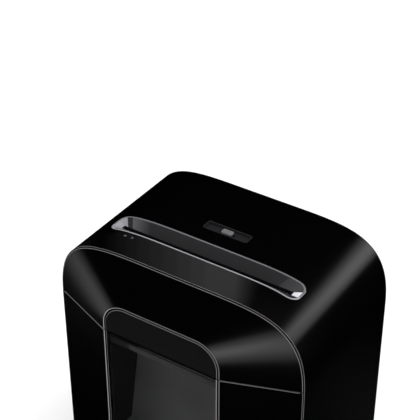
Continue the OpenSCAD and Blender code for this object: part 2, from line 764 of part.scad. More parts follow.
module idler_axles() color("#c8ccd0") {
    bar_x(plate_x, stage2_x + gear_w + 2, axle_r - 0.02, first_c);
    bar_x(plate_x, outer_plate_x + plate_t, axle_r - 0.02, second_c);
}

// ---- motor -------------------------------------------------------------------------------

module motor_stator() color("#8a8d90") difference() {
    bar_x(stator_x0, stator_x1, motor_r, motor_c);
    bar_x(stator_x0 - 1, stator_x1 + 1, rotor_r + rotor_gap, motor_c);
    // pockets for the field coils
    for (s = [-1, 1]) box([stator_x0 - 1, stator_x1 + 1],
        sided(s, rotor_r - 2, motor_r - coil_wall, motor_c[0]),
        [motor_c[1] - coil_h / 2 - 0.5, motor_c[1] + coil_h / 2 + 0.5]);
}

module motor_windings() color("#b4602a") for (s = [-1, 1])
    box([stator_x0 - 5, stator_x1 + 4],
        sided(s, rotor_r + 1.2, motor_r - coil_wall - 0.5, motor_c[0]),
        [motor_c[1] - coil_h / 2, motor_c[1] + coil_h / 2]);

// An end bracket: a ring at the stator, spokes and a bearing boss
module end_bracket(x0, x1, face_in) {
    disc_at = face_in > 0 ? [x1 - 3, x1] : [x0, x0 + 3];
    difference() {
        union() {
            difference() {
                bar_x(x0, x1, motor_r, motor_c);
                bar_x(x0 - 1, x1 + 1, motor_r - 2.5, motor_c);
            }
            side_to_side(disc_at[0], disc_at[1]) translate(motor_c) for (a = [45, 135]) rotate(a)
                square([2 * motor_r - 2, 12], center = true);
            bar_x(disc_at[0] - (face_in > 0 ? 3 : 0), disc_at[1] + (face_in > 0 ? 0 : 3), 8, motor_c);
        }
        bar_x(x0 - 5, x1 + 5, motor_shaft_r + journal_gap, motor_c);
        for (p = motor_screws) bar_x(disc_at[0] - 1, disc_at[1] + 1, frame_screw_r, p);
    }
}

module motor_drive_bracket() color("#9a9da0") end_bracket(stator_x1, plate_x, 1);
module motor_rear_bracket() color("#9a9da0") end_bracket(motor_x0, stator_x0, -1);

commutator_x = [motor_x0 + 7, motor_x0 + 14];
commutator_r = 9;

module motor_brushes() color("#404044") for (s = [-1, 1])
    box(commutator_x, [motor_c[0] - 3, motor_c[0] + 3],
        s > 0 ? [motor_c[1] + commutator_r + 0.15, motor_c[1] + motor_r - 2.8]
            : [motor_c[1] - motor_r + 2.8, motor_c[1] - commutator_r - 0.15]);

module motor_cradle() color("#202022") for (x = [stator_x0 + 4, stator_x1 - 16]) difference() {
    box([x, x + 12], [motor_c[0] - 20, motor_c[0] + 20], [deck_z, motor_c[1] - 18]);
    bar_x(x - 1, x + 13, motor_r + 0.1, motor_c);
}

module thermal_cutout() color("#d8d4c8")
    box([stator_x0 + 20, stator_x0 + 38], [motor_c[0] - 5, motor_c[0] + 5],
        [motor_c[1] + motor_r + 0.1, motor_c[1] + motor_r + 5]);

fan_r = 23;
fan_x = stator_x1 + 4.6;
module motor_armature() color("#7a6a58") {
    bar_x(motor_x0 - 3, stage1_x + gear_w + 1, motor_shaft_r, motor_c);
    bar_x(stator_x0 + 6, stator_x1 - 6, rotor_r, motor_c);
    bar_x(commutator_x[0], commutator_x[1], commutator_r, motor_c);
}

module motor_pinion() color("#c0a050")
    gear(module_first, pinion_n, motor_c, stage1_x, gear_w, heading(motor_c, first_c), true,
        motor_shaft_r + slip);

fan_blades = 8;
module cooling_fan() color("#2c2c30") difference() {
    union() {
        bar_x(fan_x, fan_x + 1.2, fan_r, motor_c);
        bar_x(fan_x, fan_x + 3.2, 6, motor_c);
        for (k = [0 : fan_blades - 1]) side_to_side(fan_x, fan_x + 3.2)
            translate(motor_c) rotate(k * 360 / fan_blades) translate([5, -0.6]) square([fan_r - 6, 1.2]);
    }
    bar_x(fan_x - 1, fan_x + 6, motor_shaft_r + slip, motor_c);
}

// ---- cutters -----------------------------------------------------------------------------

module hex2d(af) {
    circle(r = af / 2 / cos(30), $fn = 6);
}

module cutter_shaft(y, x0, x1) {
    side_to_side(-plate_x + bush_in, plate_x - bush_in) translate([y, shaft_h]) hex2d(hex_af);
    bar_x(x0, x1, journal_r, [y, shaft_h]);
}

hook_steps = 5;
// A disc outline whose radius climbs to each hook's tip and drops behind it
module disc2d(phase) {
    difference() {
        polygon([for (k = [0 : hook_count - 1], i = [0 : hook_steps])
            let (a = phase + (k + i / (hook_steps + 0.25)) * 360 / hook_count,
                r = disc_r - hook_h + hook_h * i / hook_steps) r * [cos(a), sin(a)]]);
        hex2d(hex_af + 2 * slip);
    }
}

module cutter_discs(y, xs) {
    for (x = xs) side_to_side(x - disc_t / 2, x + disc_t / 2) translate([y, shaft_h]) disc2d(x * 3);
}

module spacer(y, x0, x1) {
    side_to_side(x0, x1) translate([y, shaft_h]) difference() {
        circle(spacer_r);
        hex2d(hex_af + 2 * slip);
    }
}

module cutter_spacers(y, xs) {
    last = len(xs) - 1;
    for (i = [0 : last - 1]) spacer(y, xs[i] + disc_t / 2, xs[i + 1] - disc_t / 2);
    spacer(y, -plate_x + bush_in + 0.2, xs[0] - disc_t / 2);
    spacer(y, xs[last] + disc_t / 2, plate_x - bush_in - 0.2);
}

module front_cutter_shaft() color("#8e9296")
    cutter_shaft(front_y0, -plate_out - 3, stage1_x + gear_w + 0.5);
module front_cutter_discs() color("#a8acb0") cutter_discs(front_y0, front_discs);
module front_cutter_spacers() color("#6e7276") cutter_spacers(front_y0, front_discs);
module rear_cutter_shaft() color("#8e9296")
    cutter_shaft(rear_y0, -plate_out - 3, outer_plate_x + plate_t + 1);
module rear_cutter_discs() color("#a8acb0") cutter_discs(rear_y0, rear_discs);
module rear_cutter_spacers() color("#6e7276") cutter_spacers(rear_y0, rear_discs);

module front_sync_gear() color("#c0a050")
    gear(module_sync, sync_n, front_c, stage1_x, gear_w, 0, true, journal_r + slip);
module rear_sync_gear() color("#c0a050")
    gear(module_sync, sync_n, final_c, stage1_x, gear_w, 180, false, journal_r + slip);
module final_gear() color("#e8e4d8")
    gear(module_final, final_n, final_c, stage3_x, gear_w, heading(final_c, second_c), false,
        journal_r + slip);

// Compound gears: a wheel and a pinion on one hub
module second_gear() color("#e8e4d8") {
    gear(module_second, second_n, second_c, stage2_x, gear_w, heading(second_c, first_c), false,
        axle_r + journal_gap);
    gear(module_final, pinion_n, second_c, stage2_x + gear_w - e, stage_gap + gear_w + e,
        heading(second_c, final_c), true, axle_r + journal_gap);
}

module first_gear() color("#e8e4d8") {
    gear(module_first, first_n, first_c, stage1_x, gear_w, heading(first_c, motor_c), false,
        axle_r + journal_gap);
    gear(module_second, pinion_n, first_c, stage1_x + gear_w - e, stage_gap + gear_w + e,
        heading(first_c, second_c), true, axle_r + journal_gap);
}

// ---- electrics ---------------------------------------------------------------------------

board_l = 86;
board_d = 64;
board_gap = 6;            // space between the terminal block and the board
board_x = [0, board_l] + (gland_x + block_l / 2 + board_gap) * [1, 1];
board_y = [rear_y0 + 40, rear_y0 + 40 + board_d];
board_z = deck_z + 8;
board_t = 1.6;
board_inset = 5;
standoff_pin = 1.5;
board_holes = [for (x = [board_x[0] + board_inset, board_x[1] - board_inset],
    y = [board_y[0] + board_inset, board_y[1] - board_inset]) [x, y]];

module circuit_board() color("#2e6a3c") difference() {
    box(board_x, board_y, [board_z, board_z + board_t]);
    for (p = board_holes) translate([p[0], p[1], board_z - 1])
        cylinder(r = standoff_pin + 0.1, h = board_t + 2);
}

module board_standoffs() color("#d8d8d0") for (p = board_holes) translate([p[0], p[1], deck_z]) {
    cylinder(r = 2 * standoff_pin, h = board_z - deck_z);
    cylinder(r = standoff_pin, h = board_z - deck_z + board_t + 1);
}

// Packages on the board: where the corner is, then length, depth and height
relay = [[0.14, 0.16], [28, 24, 22]];
transformer = [[0.56, 0.12], [19, 15, 15]];
connector = [[0.14, 0.69], [26, 6, 9]];
// and round cans: where the middle is, then radius and height
cans = [[[0.66, 0.7], 8, 24], [[0.88, 0.6], 5, 14]];

module board_parts() color("#3c3c44") translate([board_x[0], board_y[0], board_z + board_t]) {
    for (p = [relay, transformer, connector])
        translate([p[0][0] * board_l, p[0][1] * board_d, 0]) cube(p[1]);
    for (p = cans) translate([p[0][0] * board_l, p[0][1] * board_d, 0]) cylinder(r = p[1], h = p[2]);
}

module terminal_block() color("#e0ddd0") difference() {
    box([gland_x - block_l / 2, gland_x + block_l / 2],
        [panel_y0 - block_gap - block_d, panel_y0 - block_gap], [deck_z, deck_z + block_h]);
    for (i = [-1, 0, 1])
        translate([gland_x + i * 7.5, panel_y0 - block_gap - block_d / 2, deck_z + block_h - 8])
            cylinder(r = 2, h = 9);
}

module cord_gland() color("#1a1a1a") difference() {
    union() {
        front_to_back(panel_y0 - 7, panel_y1 + 1.6) translate([gland_x, gland_z]) circle(gland_r);
        front_to_back(panel_y1, panel_y1 + 1.6) translate([gland_x, gland_z]) circle(gland_r + 2);
        front_to_back(panel_y0 - 7, panel_y0 - 0.1) translate([gland_x, gland_z]) circle(gland_r + 1.2);
    }
    front_to_back(panel_y0 - 8, panel_y1 + 3) translate([gland_x, gland_z]) circle(lead_r);
}

control_floor = body_h - 3.4;      // face of the plate that the knob slides on
control_low = control_floor - 2;
selector_z = control_low - 11;
stem_slot_x = stem_l / 2 + selector_travel + 0.5;
stem_slot_y = stem_w / 2 + 0.4;

module stem_slot(z0, z1) box([-stem_slot_x, stem_slot_x],
    [control_y - stem_slot_y, control_y + stem_slot_y], [z0, z1]);

module control_plate() color("#26262a") difference() {
    translate([0, control_y, control_low]) linear_extrude(body_h - 0.4 - control_low)
        rounded(control_l - 2 * fit, control_d - 2 * fit, control_r - fit);
    translate([0, control_y, control_floor]) linear_extrude(10)
        rounded(control_l - 4, control_d - 4, control_r - 2);
    stem_slot(control_low - 1, body_h);
}

module selector_switch() color("#30343c") difference() {
    box([-20, 20], [control_y - control_d / 2 + 2, control_y + control_d / 2 - 2], [selector_z, control_low]);
    stem_slot(selector_z + 4, control_low + 1);
}

knob_z = control_floor + 0.2;
module selector_knob() color("#8c8e94") {
    translate([0, control_y, knob_z]) linear_extrude(body_h - 0.8 - knob_z) rounded(knob_l, knob_d, 2);
    for (x = [-4 : 2 : 4])
        box([x - 0.4, x + 0.4], [control_y - knob_d / 2 + 1, control_y + knob_d / 2 - 1],
            [body_h - 0.8 - e, body_h - 0.4]);
    box([-stem_l / 2, stem_l / 2], [control_y - stem_w / 2, control_y + stem_w / 2],
        [selector_z + 4.3, knob_z + e]);
}

module indicator_lenses() color("#9fb8c8") for (i = [0, 1])
    let (x = lens_x + i * lens_pitch, top = arch_z(x, 0) - 0.1)
    translate([x, lens_y, 0]) {
        translate([0, 0, top - lens_h]) cylinder(r = lens_r, h = lens_h);
        translate([0, 0, top - wall - 4]) cylinder(r = lens_r + 1.2, h = 2);
    }

module sensor_flap() color("#5a5c60") {
    bar_x(sensor_x - ear_x - ear_t, sensor_x + ear_x + ear_t, flap_axle_r, flap_pivot);
    side_to_side(sensor_x - flap_w / 2, sensor_x + flap_w / 2) translate(flap_pivot) {
        circle(3);
        translate([0, -flap_t / 2]) square([slot_y + slot_gap / 2 + 1 - flap_pivot[0], flap_t]);
        translate([-8, -1]) square([8, 2]);
    }
}

// The micro-switch that the flap's tail works, clamped between the ears
module sensor_switch() color("#30343c")
    box([sensor_x - ear_x, sensor_x + ear_x], [sensor_y0, flap_pivot[0] - 10],
        [flap_pivot[1] - 4, flap_pivot[1] + 4]);

// Where the tub's sloping rear wall stands at height z
function tub_back(z) = tub_wall + tub_back_low
    + (tub_back_top - tub_back_low) * (z - tub_z0) / (tub_top - tub_z0);
lock_y = tub_back(lock_z + plunger_r) + fit;
lock_body_y = [lock_y + lock_travel + 2, lock_y + plunger_l + 3];

module interlock_switch() color("#30343c") difference() {
    box([lock_x - 10, lock_x + 10], lock_body_y, [lock_z - 6, deck_z - deck_t]);
    front_to_back(lock_body_y[0] - 1, lock_y + plunger_l + fit) translate([lock_x, lock_z])
        circle(plunger_r + 0.1);
}

module interlock_plunger() color("#c03028")
    front_to_back(lock_y, lock_y + plunger_l) translate([lock_x, lock_z]) circle(plunger_r);

// ---- bin ---------------------------------------------------------------------------------

// Plan of the faceted nose, set in by t
side_in = half_w - shell_step;
wing_len = norm([side_in - arch_hw, nose_d]);
function wing_shift(t) = t * (wing_len - nose_d) / (side_in - arch_hw);
function plan(t, back) = [[-(side_in - t), back], [-(side_in - t), seam_y + wing_shift(t)],
    [-(arch_hw - t * (wing_len - (side_in - arch_hw)) / nose_d), front_y + t],
    [arch_hw - t * (wing_len - (side_in - arch_hw)) / nose_d, front_y + t],
    [side_in - t, seam_y + wing_shift(t)], [side_in - t, back]];

module plan2d(t, back) { polygon(plan(t, back)); }

sill = 3;                 // thickness of the bin front
window_y = front_y + window_t;
ledge_y = front_y + pocket_d;
view_gap = 4;             // bar left above the view, under the head joint

// The window's outline in X and Z, set in by t, with rounded lower corners and its top at top
module window2d(t, top) difference() {
    hw = arch_hw - t;
    translate([-hw, window_low + t]) square([2 * hw, top - window_low - t]);
    for (s = [-1, 1]) difference() {
        translate([s > 0 ? nose_c[0] : -hw - 1, window_low + t - 1]) square([arch_r + 1, arch_r - t + 1]);
        translate([s * nose_c[0], window_low + arch_r]) circle(arch_r - t);
        if (s < 0) translate([-nose_c[0], window_low]) square([arch_r + 1, body_h]);
    }
}

// Screws that hold the tub to the wings of the bin front. Places are a distance along a wing
// from its fold and a height; children lie in the wing's own X and Z, with +Y going inwards
wing_tilt = atan2(nose_d, side_in - arch_hw);
wing_screw_l = wing_len / 2;
bin_screw_z = [window_low + 32, (window_low + bin_z1) / 2, bin_z1 - 30];
bin_boss_r = 5;
bin_screw_tip = 1.6;      // from the wing's outer face to the end of a screw

module on_wings() for (s = [-1, 1], z = bin_screw_z)
    translate([s * (arch_hw + wing_screw_l * cos(wing_tilt)), front_y + wing_screw_l * sin(wing_tilt), z])
        rotate([0, 0, s * wing_tilt]) children();

module bin_front() color("#0c0c0e") {
    difference() {
        union() {
            on_wings() front_to_back(sill - 0.5, tub_in - fit) circle(bin_boss_r);
            translate([0, 0, bin_z0]) linear_extrude(bin_z1 - bin_z0) difference() {
                plan2d(0, seam_y);
                plan2d(sill, seam_y + 1);
            }
            // ledge behind the window
            box([-arch_hw - 0.5, arch_hw + 0.5], [front_y + 1, ledge_y + lip_t], [window_low - 4, bin_z1]);
        }
        // pocket for the window and its groove, then the view through it
        front_to_back(front_y - 1, ledge_y) window2d(0, bin_z1);
        front_to_back(front_y - 1, front_y + 20) window2d(window_ledge, bin_z1 - view_gap);
        on_wings() front_to_back(bin_screw_tip - 0.2, tub_in) circle(screw_r);
        // finger scoop
        box([-scoop_w / 2, scoop_w / 2], [front_y - 1, front_y + 12], [bin_z0 - 1, bin_z0 + scoop_h]);
    }
    // lips that run inside the shell's sides and floor the groove
    for (s = [-1, 1])
        box(sided(s, hang_hw - lip_t, hang_hw),
            [seam_y - 1.6, shell_y + 8], [bin_z0, bin_z1]);
}

module bin_window() color("#303034", 0.5)
    front_to_back(front_y, window_y) window2d(arch_groove, bin_z1);

tub_in = pocket_d + lip_t + fit;   // from the bin's outer face to the tub
tub_cut = 42;             // height of the slope that clears the finger scoop
tub_run = 26;             // how far that slope runs back

module tub_block(t) {
    top = tub_top + (t > 0 ? 1 : 0);
    intersection() {
        translate([0, 0, tub_z0 - 5]) linear_extrude(tub_top + 20) intersection() {
            plan2d(tub_in + t, back_y);
            translate([-tub_hw + t, front_y]) square([2 * (tub_hw - t), body_d]);
        }
        side_to_side(-half_w, half_w) polygon([
            [front_y, tub_z0 + tub_cut + t], [front_y + tub_run + t, tub_z0 + t],
            [tub_back_low + tub_wall - t, tub_z0 + t],
            [tub_back_top + tub_wall - t, top], [front_y, top]]);
    }
}

module bin_tub() color("#3a3a3e") difference() {
    tub_block(0);
    tub_block(tub_wall);
    front_to_back(front_y, front_y + 14) window2d(window_ledge, tub_top - 2 * view_gap);
    on_wings() front_to_back(tub_in - 1, tub_in + tub_wall + 1) circle(screw_r + 0.2);
}

module bin_glides() color("#d0d0c8") for (s = [-1, 1])
    box([s * glide_x - glide_hw, s * glide_x + glide_hw], [front_y + tub_run + 20, tub_back_low - 4],
        [tub_z0 - glide_t, tub_z0]);

module bin_screws() color("silver") on_wings() {
    front_to_back(tub_in + tub_wall, tub_in + tub_wall + head_t) circle(head_r);
    front_to_back(bin_screw_tip, tub_in + tub_wall + e) circle(screw_r - slip);
}

wrap_shell();
nose_fascia();
arch_inlay();
paper_throat();
rear_panel();
base_plate();
rubber_feet();
head_deck();
left_frame_plate();
right_frame_plate();
tie_rods();
frame_screws();
shaft_bushes();
front_stripper_comb();
rear_stripper_comb();
gearbox_plate();
gearbox_standoffs();
idler_axles();
motor_stator();
motor_windings();
motor_drive_bracket();
motor_rear_bracket();
motor_brushes();
motor_cradle();
thermal_cutout();
circuit_board();
board_standoffs();
board_parts();
terminal_block();
cord_gland();
control_plate();
selector_switch();
indicator_lenses();
sensor_switch();
interlock_switch();
case_screws();
foot_screws();
rear_cutter_shaft();
rear_cutter_discs();
rear_cutter_spacers();
rear_sync_gear();
final_gear();
front_cutter_shaft();
front_cutter_discs();
front_cutter_spacers();
front_sync_gear();
second_gear();
first_gear();
motor_armature();
motor_pinion();
cooling_fan();
selector_knob();
sensor_flap();
interlock_plunger();
bin_front();
bin_window();
bin_tub();
bin_glides();
bin_screws();
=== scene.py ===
# Desk-side paper shredder: gloss black shell and nose, smoked bin window, graphite paper entry.
# +X right, +Y to the back, +Z up; the origin is on the floor under the middle of the shell.
import json
import math

import bpy
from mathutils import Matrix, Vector

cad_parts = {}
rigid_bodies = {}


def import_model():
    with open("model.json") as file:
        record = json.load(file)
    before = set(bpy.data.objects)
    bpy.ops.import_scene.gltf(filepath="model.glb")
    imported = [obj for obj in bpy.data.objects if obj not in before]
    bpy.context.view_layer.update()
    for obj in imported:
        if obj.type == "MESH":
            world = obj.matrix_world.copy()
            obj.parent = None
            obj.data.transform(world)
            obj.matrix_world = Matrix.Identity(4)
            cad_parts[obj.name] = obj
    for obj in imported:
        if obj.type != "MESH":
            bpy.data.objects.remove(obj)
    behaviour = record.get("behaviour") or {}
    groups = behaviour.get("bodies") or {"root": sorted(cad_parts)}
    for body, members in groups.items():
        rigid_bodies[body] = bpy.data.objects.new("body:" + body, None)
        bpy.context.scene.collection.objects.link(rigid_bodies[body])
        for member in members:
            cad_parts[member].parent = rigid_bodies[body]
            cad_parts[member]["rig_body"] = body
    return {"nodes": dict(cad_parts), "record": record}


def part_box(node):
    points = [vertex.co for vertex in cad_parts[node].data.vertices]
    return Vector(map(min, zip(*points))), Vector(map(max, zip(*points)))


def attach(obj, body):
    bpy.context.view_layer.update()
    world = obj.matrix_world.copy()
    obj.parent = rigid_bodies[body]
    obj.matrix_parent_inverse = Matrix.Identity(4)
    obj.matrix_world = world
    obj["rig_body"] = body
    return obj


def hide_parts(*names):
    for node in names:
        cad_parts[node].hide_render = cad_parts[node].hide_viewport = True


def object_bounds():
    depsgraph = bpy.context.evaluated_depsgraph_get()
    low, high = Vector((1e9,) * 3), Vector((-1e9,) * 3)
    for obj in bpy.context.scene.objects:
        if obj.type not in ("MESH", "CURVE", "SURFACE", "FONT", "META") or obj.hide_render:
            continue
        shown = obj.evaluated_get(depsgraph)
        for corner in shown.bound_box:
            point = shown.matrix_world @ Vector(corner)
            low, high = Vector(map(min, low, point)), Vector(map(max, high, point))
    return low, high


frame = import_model()
cad_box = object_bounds()
mm = 0.001

# ---- sizes in millimetres, as the part's source has them -----------------------------------
half_w, crown_z = cad_box[1].x / mm, cad_box[1].z / mm
front_y, back_y = cad_box[0].y / mm, cad_box[1].y / mm
wall, fit, lip, foot_z = 2.5, 0.3, 2.0, 7.0
# the shell's arch: how far its shoulders fall, and the two powers of its curve
shoulder_fall, top_power, side_power = 97.6, 5.42, 2.74
# the nose: back edge, the shell's front edge, and how far it stands in from the shell's face
seam_y, shell_y, shell_step = front_y + 33.4, front_y + 34.6, 0.6
# the small front arch, and the joint of head and bin
arch_hw, corner_r = 78.8, 31.0
joint_z, joint_gap = 303.0, 1.5
corner_c = (arch_hw - corner_r, joint_z + 41.7 - corner_r)
nose_low = joint_z + joint_gap / 2
# the groove round inlay and window, their thickness, and the depth of the pocket they lie in
groove, pane, pocket = 2.4, 2.4, 2.6
# the paper entry: recess, slot and chute
entry_hl, entry_y0, entry_d, entry_r, entry_rim = 128.0, shell_y + 42.0, 33.0, 12.0, 2.2
entry_y = entry_y0 + entry_d / 2
slot_hl, slot_half, slot_y = half_w - 51.75, 3.0, entry_y0 + 15.2
funnel_z, chute_z = crown_z - 10.5, crown_z - 28.0
funnel_hl, funnel_r = entry_hl - entry_rim, entry_r - entry_rim
# the control plate's opening and the two lenses
control_l, control_d, control_r, control_y = 62.0, 17.0, 4.0, entry_y0 + entry_d + 30.0
lens_x, lens_pitch, lens_y, lens_r = -96.0, 10.0, entry_y0 - 7.0, 2.1
# the bin: foot and top, window, finger scoop, wall of the front
bin_z0, bin_z1 = 8.5, joint_z - joint_gap / 2
window_low, window_ledge = 44.0, 4.6
scoop_hw, scoop_h, scoop_r, sill = 48.0, 17.0, 7.0, 3.0
# the slanted wings of nose and bin: how far they run sideways and back, and their length
side_in = half_w - shell_step
wing_run, wing_depth = side_in - arch_hw, seam_y - front_y
wing_length = math.hypot(wing_run, wing_depth)
over = 60.0     # more than a cutter needs to pass right through


# ---- outlines ------------------------------------------------------------------------------
def power(base, top):
    return math.pow(max(base, 0.0), top)


def arch_point(inset, a):
    """The shell's arch, set in by inset: 0 is the crown and 90 the foot of the shoulder."""
    a = math.radians(a)
    return (
        (half_w - inset) * power(math.sin(a), 2 / top_power),
        crown_z - inset - (shoulder_fall - inset) * (1 - power(math.cos(a), 2 / side_power)),
    )


def arch_facing(a):
    """The way the arch faces at angle a, from 0 for sideways to 90 for upwards."""
    s, c = math.sin(math.radians(a)), math.cos(math.radians(a))
    return math.degrees(math.atan2(
        half_w / top_power * power(s, 2 / top_power - 1) * c,
        shoulder_fall / side_power * power(c, 2 / side_power - 1) * s,
    ))


def arch_turned(facing):
    """The angle along the arch at which it faces a given way."""
    lo, hi = 1e-4, 90 - 1e-4
    for _ in range(50):
        mid = (lo + hi) / 2
        lo, hi = (mid, hi) if arch_facing(mid) > facing else (lo, mid)
    return (lo + hi) / 2


def arch_angle(inset, z):
    """The angle at which the arch comes down to height z."""
    fall = (crown_z - inset - z) / (shoulder_fall - inset)
    return math.degrees(math.acos(power(1 - fall, side_power / 2)))


def crown(x, inset=0.0):
    """Height of the arch over x."""
    return crown_z - inset - (shoulder_fall - inset) * (
        1 - power(1 - power(min(1, abs(x) / (half_w - inset)), top_power), 1 / side_power)
    )


def corner_point(inset, a):
    """The small front arch's corner, set in by inset, at angle a."""
    a = math.radians(a)
    return (
        corner_c[0] + (corner_r - inset) * math.cos(a),
        corner_c[1] + (corner_r - inset) * math.sin(a),
    )


def mirrored(half):
    """Points of a right half, crown first, made the whole way round from the left foot."""
    return [(-x, z) for x, z in reversed(half)] + half


# The arch's points, by the way it faces: evenly turned, and closer by the crown
facings = [89.4, 88.6, 87.5] + [86.2 - 1.72 * i for i in range(50)] + [0.8]
big_arch = [arch_turned(f) for f in facings]
corner_steps = 16


def standing(points, y):
    """An outline in X and Z, stood up at y."""
    return [(x, y, z) for x, z in points]


def shell_outline(inset, low):
    half = [arch_point(inset, a) for a in big_arch] + [(half_w - inset, crown_z - shoulder_fall)]
    return mirrored(half + [(half_w - inset, low)])


def small_arch(inset, low):
    half = [corner_point(inset, 90 - 90 * i / corner_steps) for i in range(corner_steps + 1)]
    return mirrored(half + [(arch_hw - inset, low)])


def window_outline(inset, top):
    """The window, set in by inset: straight at its top, round at its lower corners."""
    half = [(arch_hw - inset, top)]
    for i in range(corner_steps + 1):
        a = math.radians(-90 * i / corner_steps)
        half.append((
            corner_c[0] + (corner_r - inset) * math.cos(a),
            window_low + corner_r + (corner_r - inset) * math.sin(a),
        ))
    return half + [(-x, z) for x, z in reversed(half)]


def circle(x, z, r, steps=24):
    return [(x + r * math.cos(2 * math.pi * i / steps), z + r * math.sin(2 * math.pi * i / steps))
            for i in range(steps)]


# ---- work on meshes ------------------------------------------------------------------------
def put_down():
    """Leaves edit mode with nothing selected."""
    if bpy.context.mode != "OBJECT":
        bpy.ops.object.mode_set(mode="OBJECT")
    bpy.ops.object.select_all(action="DESELECT")


def pick(*pieces):
    put_down()
    for piece in pieces:
        piece.select_set(True)
    bpy.context.view_layer.objects.active = pieces[0]


def near(value, wanted, slack=0.02):
    return abs(value - wanted) < slack


def both(test):
    """A test of edges: both ends pass a test of places."""
    return lambda p, q: test(p) and test(q)


def rounded(p):
    return tuple(round(c, 2) for c in p)


def on_row(row):
    """A test of edges: both ends are points of the row."""
    points = {rounded(p) for p in row}
    return both(lambda p: rounded(p) in points)


def choose(piece, wanted):
    """Into edit mode, with the wanted edges selected."""
    pick(piece)
    bpy.ops.object.mode_set(mode="EDIT")
    bpy.ops.mesh.select_mode(type="EDGE")
    bpy.ops.mesh.select_all(action="DESELECT")
    bpy.ops.object.mode_set(mode="OBJECT")
    for e in piece.data.edges:
        e.select = wanted(e)
    bpy.ops.object.mode_set(mode="EDIT")


def pull(way):
    """Extrudes what is selected."""
    bpy.ops.mesh.extrude_region_move(TRANSFORM_OT_translate={"value": Vector(way) * mm})


def wire(name, points):
    """One corner of a plane, pulled along through the points; stays in edit mode."""
    put_down()
    bpy.ops.mesh.primitive_plane_add(size=mm, location=Vector(points[0]) * mm)
    piece = bpy.context.object
    piece.name = name
    bpy.ops.object.transform_apply(location=True, rotation=True, scale=True)
    bpy.ops.object.mode_set(mode="EDIT")
    bpy.ops.mesh.select_mode(type="VERT")
    bpy.ops.mesh.merge(type="CENTER")
    for p, q in zip(points, points[1:]):
        pull(Vector(q) - Vector(p))
    return piece


def slab(name, outline, way):
    """A solid: the outline closed into a face and pulled by way."""
    piece = wire(name, outline)
    bpy.ops.mesh.select_all(action="SELECT")
    bpy.ops.mesh.edge_face_add()
    pull(way)
    bpy.ops.mesh.select_all(action="SELECT")
    bpy.ops.mesh.normals_make_consistent(inside=False)
    put_down()
    return piece


def skin(name, rows):
    """Rows of points bridged one after another, and the last one back to the first."""
    wires = [wire(name, row) for row in rows]
    starts = [sum(len(row) for row in rows[:i]) for i in range(len(rows) + 1)]
    pick(*wires)
    bpy.ops.object.join()
    piece = wires[0]
    piece.name = name
    for a in range(len(rows)):
        spans = [(starts[k], starts[k + 1]) for k in (a, (a + 1) % len(rows))]
        choose(piece, lambda e: any(s <= min(e.vertices) and max(e.vertices) < t for s, t in spans))
        bpy.ops.mesh.bridge_edge_loops()
    return piece


def cut(piece, other, how="DIFFERENCE"):
    """Takes the other piece away from this one, or welds it on, and clears it away."""
    put_down()
    step = piece.modifiers.new("cut", "BOOLEAN")
    step.operation, step.object, step.solver = how, other, "EXACT"
    pick(piece)
    bpy.ops.object.modifier_apply(modifier=step.name)
    bpy.data.objects.remove(other)


def round_edges(piece, wanted, width, segments=3, satin=0.0):
    """Rounds the edges whose two ends, in millimetres, pass wanted. The last argument, from 0 to 1,
    is how much painted highlight, a light grey in place of the polish, the round's faces get."""
    mesh = piece.data
    choose(piece, lambda e: wanted(*(mesh.vertices[v].co / mm for v in e.vertices)))
    bpy.ops.mesh.bevel(offset=width * mm, offset_type="OFFSET", segments=segments, profile=0.5,
                       affect="EDGES", clamp_overlap=True)
    bpy.ops.object.mode_set(mode="OBJECT")
    mark = mesh.attributes.get("satin") or mesh.attributes.new("satin", "FLOAT", "FACE")
    for f in mesh.polygons:
        if f.select:
            mark.data[f.index].value = satin
    put_down()


def tint(piece, name, tone):
    """Writes a tone on each face, from its place and the way it faces; None leaves it alone."""
    mesh = piece.data
    mark = mesh.attributes.get(name) or mesh.attributes.new(name, "FLOAT", "FACE")
    for f in mesh.polygons:
        value = tone(f.center / mm, f.normal)
        if value is not None:
            mark.data[f.index].value = value


def weld(piece, gap):
    """Into edit mode, with corners closer than gap made one."""
    pick(piece)
    bpy.ops.object.mode_set(mode="EDIT")
    bpy.ops.mesh.select_mode(type="VERT")
    bpy.ops.mesh.select_all(action="SELECT")
    bpy.ops.mesh.remove_doubles(threshold=gap * mm)


def merge(piece):
    weld(piece, 0.001)
    bpy.ops.mesh.normals_make_consistent(inside=False)
    put_down()


def even_shading(piece, turn=32):
    pick(piece)
    bpy.ops.object.shade_smooth_by_angle(angle=math.radians(turn))
    step = piece.modifiers.new("even", "WEIGHTED_NORMAL")
    step.keep_sharp = True
    bpy.ops.object.modifier_apply(modifier=step.name)


slots = {s["node"]: s["material_slot"] for s in frame["record"]["subparts"]}


def hand_over(piece, node):
    """The finished piece takes its body, slot and finish from the node it stands for."""
    put_down()
    slot_name = slots[node]
    piece.data.materials.clear()
    piece.data.materials.append(finish_of(slot_name))
    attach(piece, frame["nodes"][node]["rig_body"])
    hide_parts(node)


def remake(node, edge):
    """A copy of a node with its corners merged, its flats made whole and its edges rounded."""
    pick(frame["nodes"][node])
    bpy.ops.object.duplicate()
    piece = bpy.context.object
    bpy.ops.object.parent_clear(type="CLEAR_KEEP_TRANSFORM")
    bpy.ops.object.transform_apply(location=True, rotation=True, scale=True)
    piece.name = node + "_made"
    for key in list(piece.keys()):
        del piece[key]
    weld(piece, 0.002)
    bpy.ops.mesh.dissolve_limited(angle_limit=math.radians(0.4))
    put_down()
    step = piece.modifiers.new("edge", "BEVEL")
    step.width, step.segments = edge * mm, 2
    step.limit_method, step.angle_limit = "ANGLE", math.radians(30)
    step.use_clamp_overlap = True
    pick(piece)
    bpy.ops.object.modifier_apply(modifier=step.name)
    even_shading(piece)
    hand_over(piece, node)


